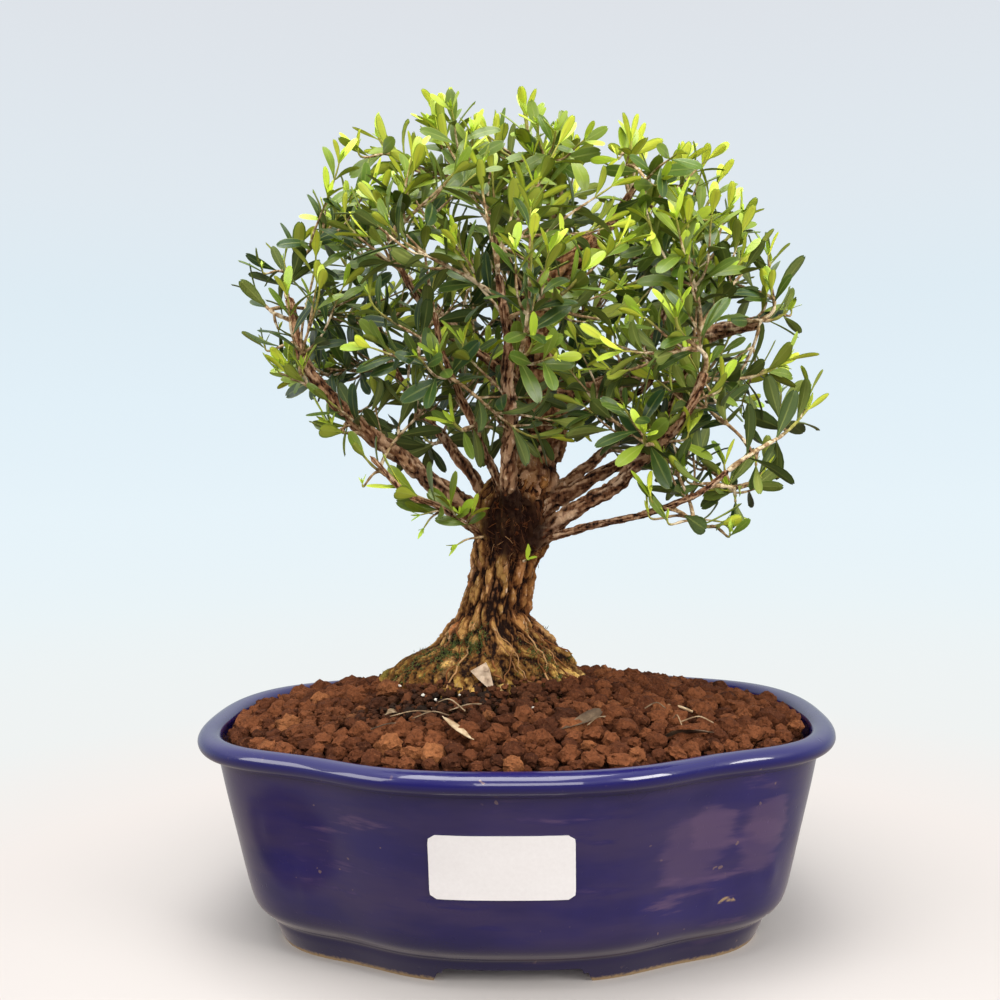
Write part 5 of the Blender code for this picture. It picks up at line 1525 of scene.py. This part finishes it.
def add_shoot(heap, route, leaves, look, youth_and_light, radius):
    """A stem that is green at its end and barky below, with its leaves and a bud at the tip."""
    route = smooth_route(route, 1.7)
    rows = len(route)
    share = np.linspace(0, 1, rows)
    joints = 1 + 0.12 * np.sin(share * rows * 1.3)
    add_tube(heap, route, radius * (1 - TWIG_TAPER * share) * joints, 6, 0,
             rib=0.0, reach=share, under=0.0, age=youth_and_light, tone=look.random())
    burst = 0.55 * look.random() + (0.45 if look.random() < 0.6 else 0.0)
    shoot_tone = look.random()
    count = 0
    for leaf in leaves:
        place, direction, upper, length, width, pair = leaf[:6]
        if not in_crown(place + direction * length):
            continue
        young = max(0.0, 1 - pair / 2.2)
        # This mark mixes each leaf's real freshness with its shoot's painted light.
        age = max(youth_and_light * (0.50 + 0.50 * young), (youth_and_light + burst) * young**1.6) + look.uniform(-0.08, 0.10)
        add_leaf(heap, leaf, look.uniform(0.15, 0.80) * (1 - 0.6 * young), look.uniform(0.10, 0.34),
                 look.uniform(-0.30, 0.30), min(1.0, max(0.0, age)), 0.5 * shoot_tone + 0.5 * look.random())
        count += 1
    way = unit(route[-1] - route[-2])
    turn = look.uniform(0, 6.28)
    for side in range(BUD_LEAVES):
        around = turn + side * 2.1
        out = unit(np.cross(way, (math.cos(around), math.sin(around), 0.2)))
        add_bud_leaf(heap, route[-1], unit(way + out * look.uniform(0.10, 0.45)), out,
                     look.uniform(3.0, 6.5) * (0.45 + 0.55 * burst), look.random())
    return count


def youth_and_light_of(tip, look):
    """How fresh a shoot's leaves look, with painted light in it: most at the top, for new growth and as
    painted light from above, and in front and right of the middle, as painted light from the key lamp.
    """
    high = min(1.0, max(0.0, (tip[2] - 212) / 40))
    # lit is painted light: where the key lamp falls, at the front right, leaves get a fresher, lighter
    # colour.
    lit = min(1.0, max(0.0, (tip[0] + 22) / 45)) * min(1.0, max(0.0, (14 - tip[1]) / 50))
    lit *= min(1.0, max(0.0, (tip[2] - 150) / 35))
    return min(1.0, max(0.0, 0.74 * high + 0.46 * lit + look.uniform(-0.20, 0.08)))


def make_sprays():
    stems, total = 0, 0
    for number, (route, fork) in enumerate(zip(routes, forks), 1):
        if number in LEFT_OUT:
            continue
        draw = random.Random(SEED + 100 + stems)
        look = random.Random(SEED + 200 + stems)
        stems += 1
        _, leaves = leaf_places(route, draw)
        heap = Heap()
        youth_and_light = youth_and_light_of(route[-1], look)
        total += add_shoot(heap, route, leaves, look, youth_and_light, TWIG_RADIUS)
        for _, _, _, side_route, _, side_leaves in side_shoots(leaves, draw):
            total += add_shoot(heap, side_route, side_leaves, look, youth_and_light * 0.8, 0.5)
        if fork is not None:
            _, fork_leaves = leaf_places(fork, draw, SIDE_SIZE)
            youth_and_light = youth_and_light_of(fork[-1], look) * 0.6
            total += add_shoot(heap, fork, fork_leaves, look, youth_and_light, 0.62)
            for _, _, _, side_route, _, side_leaves in side_shoots(fork_leaves, draw):
                total += add_shoot(heap, side_route, side_leaves, look, youth_and_light, 0.45)
        spray = heap.build(f"spray_{number:02d}", foliage, 60)
        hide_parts(f"leafy_spray_{number:02d}")
    return total


spray_leaves = make_sprays()
print(spray_leaves, "leaves on the sprays")

# %% [markdown]
# A real crown is leafy inside too. Short twigs along the limbs fill it, a few more close the gaps in
# its outline, and small fresh sprigs stand low by the fork. The filling shoots are picked on the
# photograph: a pixel and a depth give a place, because the camera's own lens turns one into the other.

# %% Inner shoots
INNER_SHOOTS = 54
LEAST_BEARING_HEIGHT = 150.0
PICTURE_SIZE = 1000
FILLING_TIPS = (
    # where a small shoot ends in the photograph, in pixels, and the depth y in mm chosen for it
    (742, 516, -44), (737, 452, -34), (768, 440, -22), (634, 494, -30), (672, 456, -34), (700, 470, -30),
    (655, 500, -38), (262, 318, -14), (280, 352, -20), (297, 384, -18), (318, 410, -24), (345, 470, -26),
    (300, 345, -26), (346, 130, -14), (437, 92, 2), (526, 92, -6), (606, 138, -14), (636, 128, 0),
    (688, 142, 2), (768, 232, 2), (797, 292, 4), (812, 372, -10), (770, 268, -6), (722, 440, -28),
    (716, 470, -36), (738, 486, -40), (640, 474, -36), (250, 250, -10), (252, 330, -8),
)
CROTCH_SPRIGS = (
    # a route in mm for each small fresh twig low on the limbs, and the size of its leaves
    (((-17, -10, 132), (-18, -14, 134), (-19, -17, 137)), 1.10),
    (((-19, -12, 134), (-23, -16, 135), (-28, -19, 134)), 1.15),
    (((-15, -9, 131), (-17, -13, 132), (-16, -17, 134)), 1.00),
    (((-22, -13, 135), (-25, -17, 133), (-27, -20, 130)), 0.90),
    (((-13, -9, 129), (-14, -13, 131), (-12, -16, 134)), 0.90),
    (((-22, -14, 137), (-29, -20, 140), (-34, -23, 143)), 1.15),
    (((-9, -6, 126), (-14, -10, 125.5), (-17, -12, 124)), 0.55),
    (((4, -8, 118), (5, -10, 118.5), (5.3, -11, 119)), 0.28),
)


def seen_at(column, row, depth):
    """The place in mm that the camera sees at this pixel, at this depth."""
    focal = CAMERA_LENS / camera.data.sensor_width * PICTURE_SIZE
    ray = Vector((column - PICTURE_SIZE / 2, PICTURE_SIZE / 2 - row, -focal))
    ray = np.array(camera.matrix_world.to_3x3() @ ray)
    return np.array(CAMERA_PLACE) + ray * (depth - CAMERA_PLACE[1]) / ray[1]


# %% Twigs inside the crown
def make_inner_shoots():
    """Short leafy twigs along the limbs, which fill the crown behind its outline."""
    draw = random.Random(SEED + 4)
    stations = [(place, way, radius, share) for place, way, radius, share in limb_stations()
                if radius < 3.6 and share > 0.35 and place[2] > LEAST_BEARING_HEIGHT]
    centre = np.array((6.0, 2.0, 190.0))
    heaps = [Heap(), Heap()]
    total = 0
    for i in range(INNER_SHOOTS):
        place, way, radius, share = stations[int((i + 0.5) * len(stations) / INNER_SHOOTS)]
        if place[0] < -20 and i % 3:
            continue
        out = unit(np.array([draw.gauss(0, 1) for _ in range(3)]))
        out = unit(0.8 * out - way * float(out @ way) * 0.5 + 0.5 * unit(place - centre)
                   + np.array([0, 0, 1.3]))
        reach = draw.uniform(18, 32)
        tip = place + out * reach
        away = (tip - np.array(CROWN_CENTRE)) / np.array(CROWN_RADII)
        if np.linalg.norm(away) > 0.92 or seen_reach(tip) > 0.93:
            tip = place + out * reach * 0.55
        twig = bezier(place, place + unit(out + way) * reach * 0.35,
                      tip - np.array([0, 0, reach * 0.25]), tip, 14)
        _, leaves = leaf_places(twig, draw, SIDE_SIZE)
        youth_and_light = youth_and_light_of(twig[-1], draw) * 0.7
        total += add_shoot(heaps[i % 2], twig, leaves, draw, youth_and_light, 0.55)
    bearing = [place for place, _, radius, _ in stations if radius < 3.0]
    bearing = np.array(bearing + [point for route in routes for point in route[8:23:2]])
    for number, tip in enumerate(FILLING_TIPS):
        tip = seen_at(*tip)
        gap = np.linalg.norm(bearing - tip, axis=1) + 1.5 * np.maximum(bearing[:, 2] - tip[2] + 5, 0)
        gap += 60 * (gap < 14)
        place = bearing[gap.argmin()]
        out = unit(tip - place)
        reach = float(np.linalg.norm(tip - place))
        tip = tip - unit(out + (0, 0, 0.8)) * 7
        twig = bezier(place, place + out * reach * 0.3, tip - np.array([0, 0, reach * 0.28]), tip, 14)
        _, leaves = leaf_places(twig, draw, SIDE_SIZE)
        youth_and_light = youth_and_light_of(twig[-1], draw)
        total += add_shoot(heaps[number % 2], twig, leaves, draw, youth_and_light, 0.55)
    for knots, size in CROTCH_SPRIGS:
        twig = smooth_route(knots, 1.5)
        _, leaves = leaf_places(twig, draw, size)
        total += add_shoot(heaps[0], twig, leaves, draw, draw.uniform(0.25, 0.4), 0.45)
    for number, heap in enumerate(heaps, 1):
        heap.build(f"inner_shoots_{number}", foliage, 60)
    return total


inner_leaves = make_inner_shoots()
print(inner_leaves, "inner leaves,", spray_leaves + inner_leaves, "in all")

# %% [markdown]
# What lies on the soil tells that the tree is cared for by hand: dry leaves that have dropped, a
# pale twig, a few straws and a flake of bark against the trunk. They sit where the solids put them.

# %% Litter
FALLEN_LEAVES = (
    # x, y, heading in degrees, length, how pale it has dried
    (14, -50, 25, 15.0, 0.10), (59, -50, 155, 16.5, 0.05),
    (-10, -60, 130, 15.0, 0.85), (-38, -38, 70, 13.0, 0.5),
)
DRY_LEAF_SLIMNESS = 0.36
FALLEN_TWIG = ((45, -20, 4), (51, -22, 5), (56, -26, 4))
STRAWS = 16


def node_box(name):
    low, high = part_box(name)
    return np.array(low) / MM, np.array(high) / MM


def dry_finish():
    dry = Finish("dry_leaf", Roughness=0.75, Specular_IOR_Level=0.2)
    patch = dry.speckle(240.0, 4.0)
    brown = dry.ramp(patch, (0.3, (0.016, 0.010, 0.007)), (0.5, (0.060, 0.038, 0.024)),
                     (0.68, (0.16, 0.105, 0.060)))
    pale = dry.ramp(patch, (0.3, (0.15, 0.085, 0.045)), (0.5, (0.38, 0.26, 0.145)),
                    (0.68, (0.62, 0.49, 0.32)))
    dry.set(Base_Color=dry.mix(dry.mark("tone"), brown, pale))
    dry.set(Normal=dry.bump(patch, 0.5, 0.8))
    return dry.material


def make_litter(dry):
    draw = random.Random(SEED + 4)
    for number, (x, y, heading, length, pale) in enumerate(FALLEN_LEAVES, 1):
        name = f"fallen_leaf_{number}"
        low, high = node_box(name)
        turn = math.radians(heading)
        heap = Heap()
        place = np.array([x, y, (low[2] + high[2]) / 2 + 0.3])
        way = np.array([math.cos(turn), math.sin(turn), 0.05])
        leaf = (place, way, np.array([0, 0, 1.0]), length, DRY_LEAF_SLIMNESS * length)
        add_leaf(heap, leaf, -0.45 if number % 2 else 0.6, 0.5, 0.5, 0, pale, 0)
        fallen = heap.build(f"dry_leaf_{number}", [dry], 60)
        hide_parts(name)
    low, high = node_box("fallen_twig")
    route = smooth_route([(x, y, low[2] + 0.6 + z - 4) for x, y, z in FALLEN_TWIG], 0.7)
    heap = Heap()
    add_tube(heap, route, 0.62 - 0.25 * np.linspace(0, 1, len(route)), 10, tone=1.0)
    twig = heap.build("dry_twig", [dry])
    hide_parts("fallen_twig")
    heap = Heap()
    for _ in range(STRAWS):
        x, y = draw.uniform(-80, 80), draw.uniform(-62, -30)
        if not within_outline(x, y, 22):
            continue
        turn, half = draw.uniform(0, 3.14), draw.uniform(3, 8)
        ends = [(x + math.cos(turn) * s * half, y + math.sin(turn) * s * half) for s in (-1, 0.1, 1)]
        bow = draw.uniform(0.5, 2.2)
        knots = [(a, b, soil_height(a, b) + 3.4 + bow * (s == 1)) for s, (a, b) in enumerate(ends)]
        straw = smooth_route(knots, 1.0)
        add_tube(heap, straw, 0.20, 6, tone=draw.uniform(0.1, 0.8))
    heap.build("straws", [dry])


# %% Flake of bark
def make_flake(finish):
    low, high = node_box("bark_flake")
    middle = (low + high) / 2 + (-0.8, 0, 1.2)
    corners = ((-3.8, -0.8, 2.1), (-1.5, -0.8, 3.3), (1.0, -0.7, 4.7), (2.1, -0.3, 2.5), (2.9, 0.2, -1.3),
               (3.7, 0.5, -5.0), (1.0, 0.3, -2.9), (-1.5, 0.0, -0.6))
    shape = bmesh.new()
    front = shape.faces.new([shape.verts.new(Vector(middle + np.array(corner)) * MM) for corner in corners])
    back = bmesh.ops.extrude_face_region(shape, geom=[front])["geom"]
    for item in back:
        if isinstance(item, bmesh.types.BMVert):
            item.co.y += 0.9 * MM
    bmesh.ops.recalc_face_normals(shape, faces=shape.faces)
    bmesh.ops.triangulate(shape, faces=shape.faces)
    bmesh.ops.subdivide_edges(shape, edges=shape.edges, cuts=5, use_grid_fill=True)
    for vertex in shape.verts:
        vertex.co.y += (0.35 * noise.noise(vertex.co * 450) + 0.15 * noise.noise(vertex.co * 1300)) * MM
    flake = helper("loose_bark", shape)
    flake.data.materials.append(finish)
    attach(flake, "root")
    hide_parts("bark_flake")


def flake_finish():
    flake = Finish("grey_flake", Roughness=0.9)
    grain = flake.speckle(500.0, 4.0)
    flake.set(Base_Color=flake.ramp(grain, (0.25, (0.20, 0.13, 0.08)), (0.5, (0.54, 0.40, 0.28)),
                                    (0.8, (0.72, 0.58, 0.43))))
    flake.set(Normal=flake.bump(grain, 0.4, 0.8))
    return flake.material


dry = dry_finish()
make_litter(dry)
make_flake(flake_finish())

# %% [markdown]
# Moss holds to the damp side of the root ridges, and fine roots run down over them. Both are laid on
# the trunk's own points, so they follow every furrow. A mat of short dark fibres lies in the fork.
# Particle hair could do this too, but an export drops it, so each blade and root is real mesh.

# %% Moss and fine roots
def moss_finish():
    moss = Finish("moss", Roughness=0.9)
    moss.set(Base_Color=moss.mix(moss.mark("tone"), (0.022, 0.045, 0.008), (0.150, 0.180, 0.030)))
    return moss.material


TUFT_BLADES = 7
FOOT_ROOTLETS = 15
FORK_FIBRES = 190
MOSS_PATCHES = (
    # angle round the foot in degrees, height, spread of each, how many tufts
    (205, 84, 18, 5, 90), (228, 88, 9, 3, 80), (252, 92, 7, 3, 70), (318, 84, 8, 4, 60), (188, 80, 9, 3, 60),
    (335, 78, 6, 2, 40), (40, 84, 18, 4, 60), (120, 86, 20, 5, 70),
)


def skin_place(angle, height):
    row = int(np.clip(np.abs(trunk_skin[:, :, 2].mean(axis=1) - height).argmin(), 1, len(trunk_skin) - 2))
    column = int(round((angle % 360) / 360 * TRUNK_POINTS)) % TRUNK_POINTS
    point = trunk_skin[row, column]
    along = trunk_skin[row + 1, column] - trunk_skin[row - 1, column]
    around = trunk_skin[row, (column + 1) % TRUNK_POINTS] - trunk_skin[row, column - 1]
    return point, unit(np.cross(around, along))


def make_moss(finish):
    """Tufts of tiny blades on the shaded root ridges."""
    draw = random.Random(SEED + 5)
    heap = Heap()
    for angle, height, wide, tall, count in MOSS_PATCHES:
        for _ in range(count):
            point, out = skin_place(draw.gauss(angle, wide), draw.gauss(height, tall))
            for _ in range(TUFT_BLADES):
                way = unit(out + np.array([draw.gauss(0, 0.7) for _ in range(3)]))
                side = unit(np.cross(way, (0.3, 0.5, 0.8))) * 0.17
                base = point + np.array([draw.gauss(0, 0.5) for _ in range(3)]) - out * 0.15
                tip = base + way * draw.uniform(0.7, 1.7)
                lift = np.cross(way, side) * 0.5
                heap.add([base - side, base + side, base + lift, tip],
                         [[[0, 1, 3], [1, 2, 3], [2, 0, 3], [0, 2, 1]]], tone=draw.random())
    heap.build("moss_tufts", [finish])


# %% Fine roots
def root_finish():
    root = Finish("fine_roots", Roughness=0.85, Specular_IOR_Level=0.1)
    tone = root.mark("tone") + 0.3 * (root.speckle(500.0) - 0.5)
    root.set(Base_Color=root.ramp(tone, (0.0, (0.030, 0.011, 0.006)), (0.45, (0.21, 0.075, 0.024)),
                                  (0.75, (0.44, 0.25, 0.11)), (1.0, (0.62, 0.47, 0.29))))
    return root.material


def make_rootlets(finish):
    """Fine roots that hug the foot, and the mat of short dark fibres that gathers in the fork."""
    draw = random.Random(SEED + 6)
    heap = Heap()
    for number in range(FOOT_ROOTLETS):
        angle = draw.gauss(292, 22) if number % 2 else draw.uniform(180, 360)
        height = draw.uniform(86, 100)
        drift = draw.uniform(-1.5, 4.0)
        knots = []
        while height > 77:
            point, out = skin_place(angle, height)
            knots.append(point + out * draw.uniform(0.0, 0.5))
            height -= draw.uniform(1.0, 1.8)
            angle += drift + draw.gauss(0, 1.5)
        add_tube(heap, smooth_route(knots, 1.0), draw.uniform(0.12, 0.30), 6, tone=draw.uniform(0.25, 0.75))
    for _ in range(FORK_FIBRES):
        point, out = skin_place(draw.gauss(274, 26), draw.uniform(118, 143))
        along = unit(np.array([draw.gauss(0, 1), draw.gauss(0, 0.3), draw.gauss(-0.3, 1)]))
        length = draw.uniform(1.5, 5.0)
        start = point + out * draw.uniform(-0.6, 0.3)
        bow = out * draw.uniform(0.2, 0.9)
        fibre = [start, start + along * length / 2 + bow, start + along * length - out * 0.2]
        add_tube(heap, smooth_route(fibre, 1.3), draw.uniform(0.06, 0.13), 4, tone=draw.betavariate(0.6, 3.2))
    heap.build("rootlets", [finish])


make_moss(moss_finish())
make_rootlets(root_finish())

# %% [markdown]
# Under the soil an open netting covers each drainage hole. Its solids are fine enough to be seen, so
# they stay, and only get a black plastic finish of their own.

# %% Drainage netting
def netting_finish():
    net = Finish("black_netting", Roughness=0.5)
    grain = net.speckle(500.0)
    net.set(Base_Color=net.mix(grain, (0.012, 0.012, 0.013), (0.035, 0.035, 0.037)))
    net.set(Roughness=0.4 + 0.3 * grain)
    return net.material


netting = netting_finish()
for name in ("drain_mesh_left", "drain_mesh_right"):
    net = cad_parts[name]
    for slot in net.material_slots:
        slot.material = netting
print("netting keeps its solids")
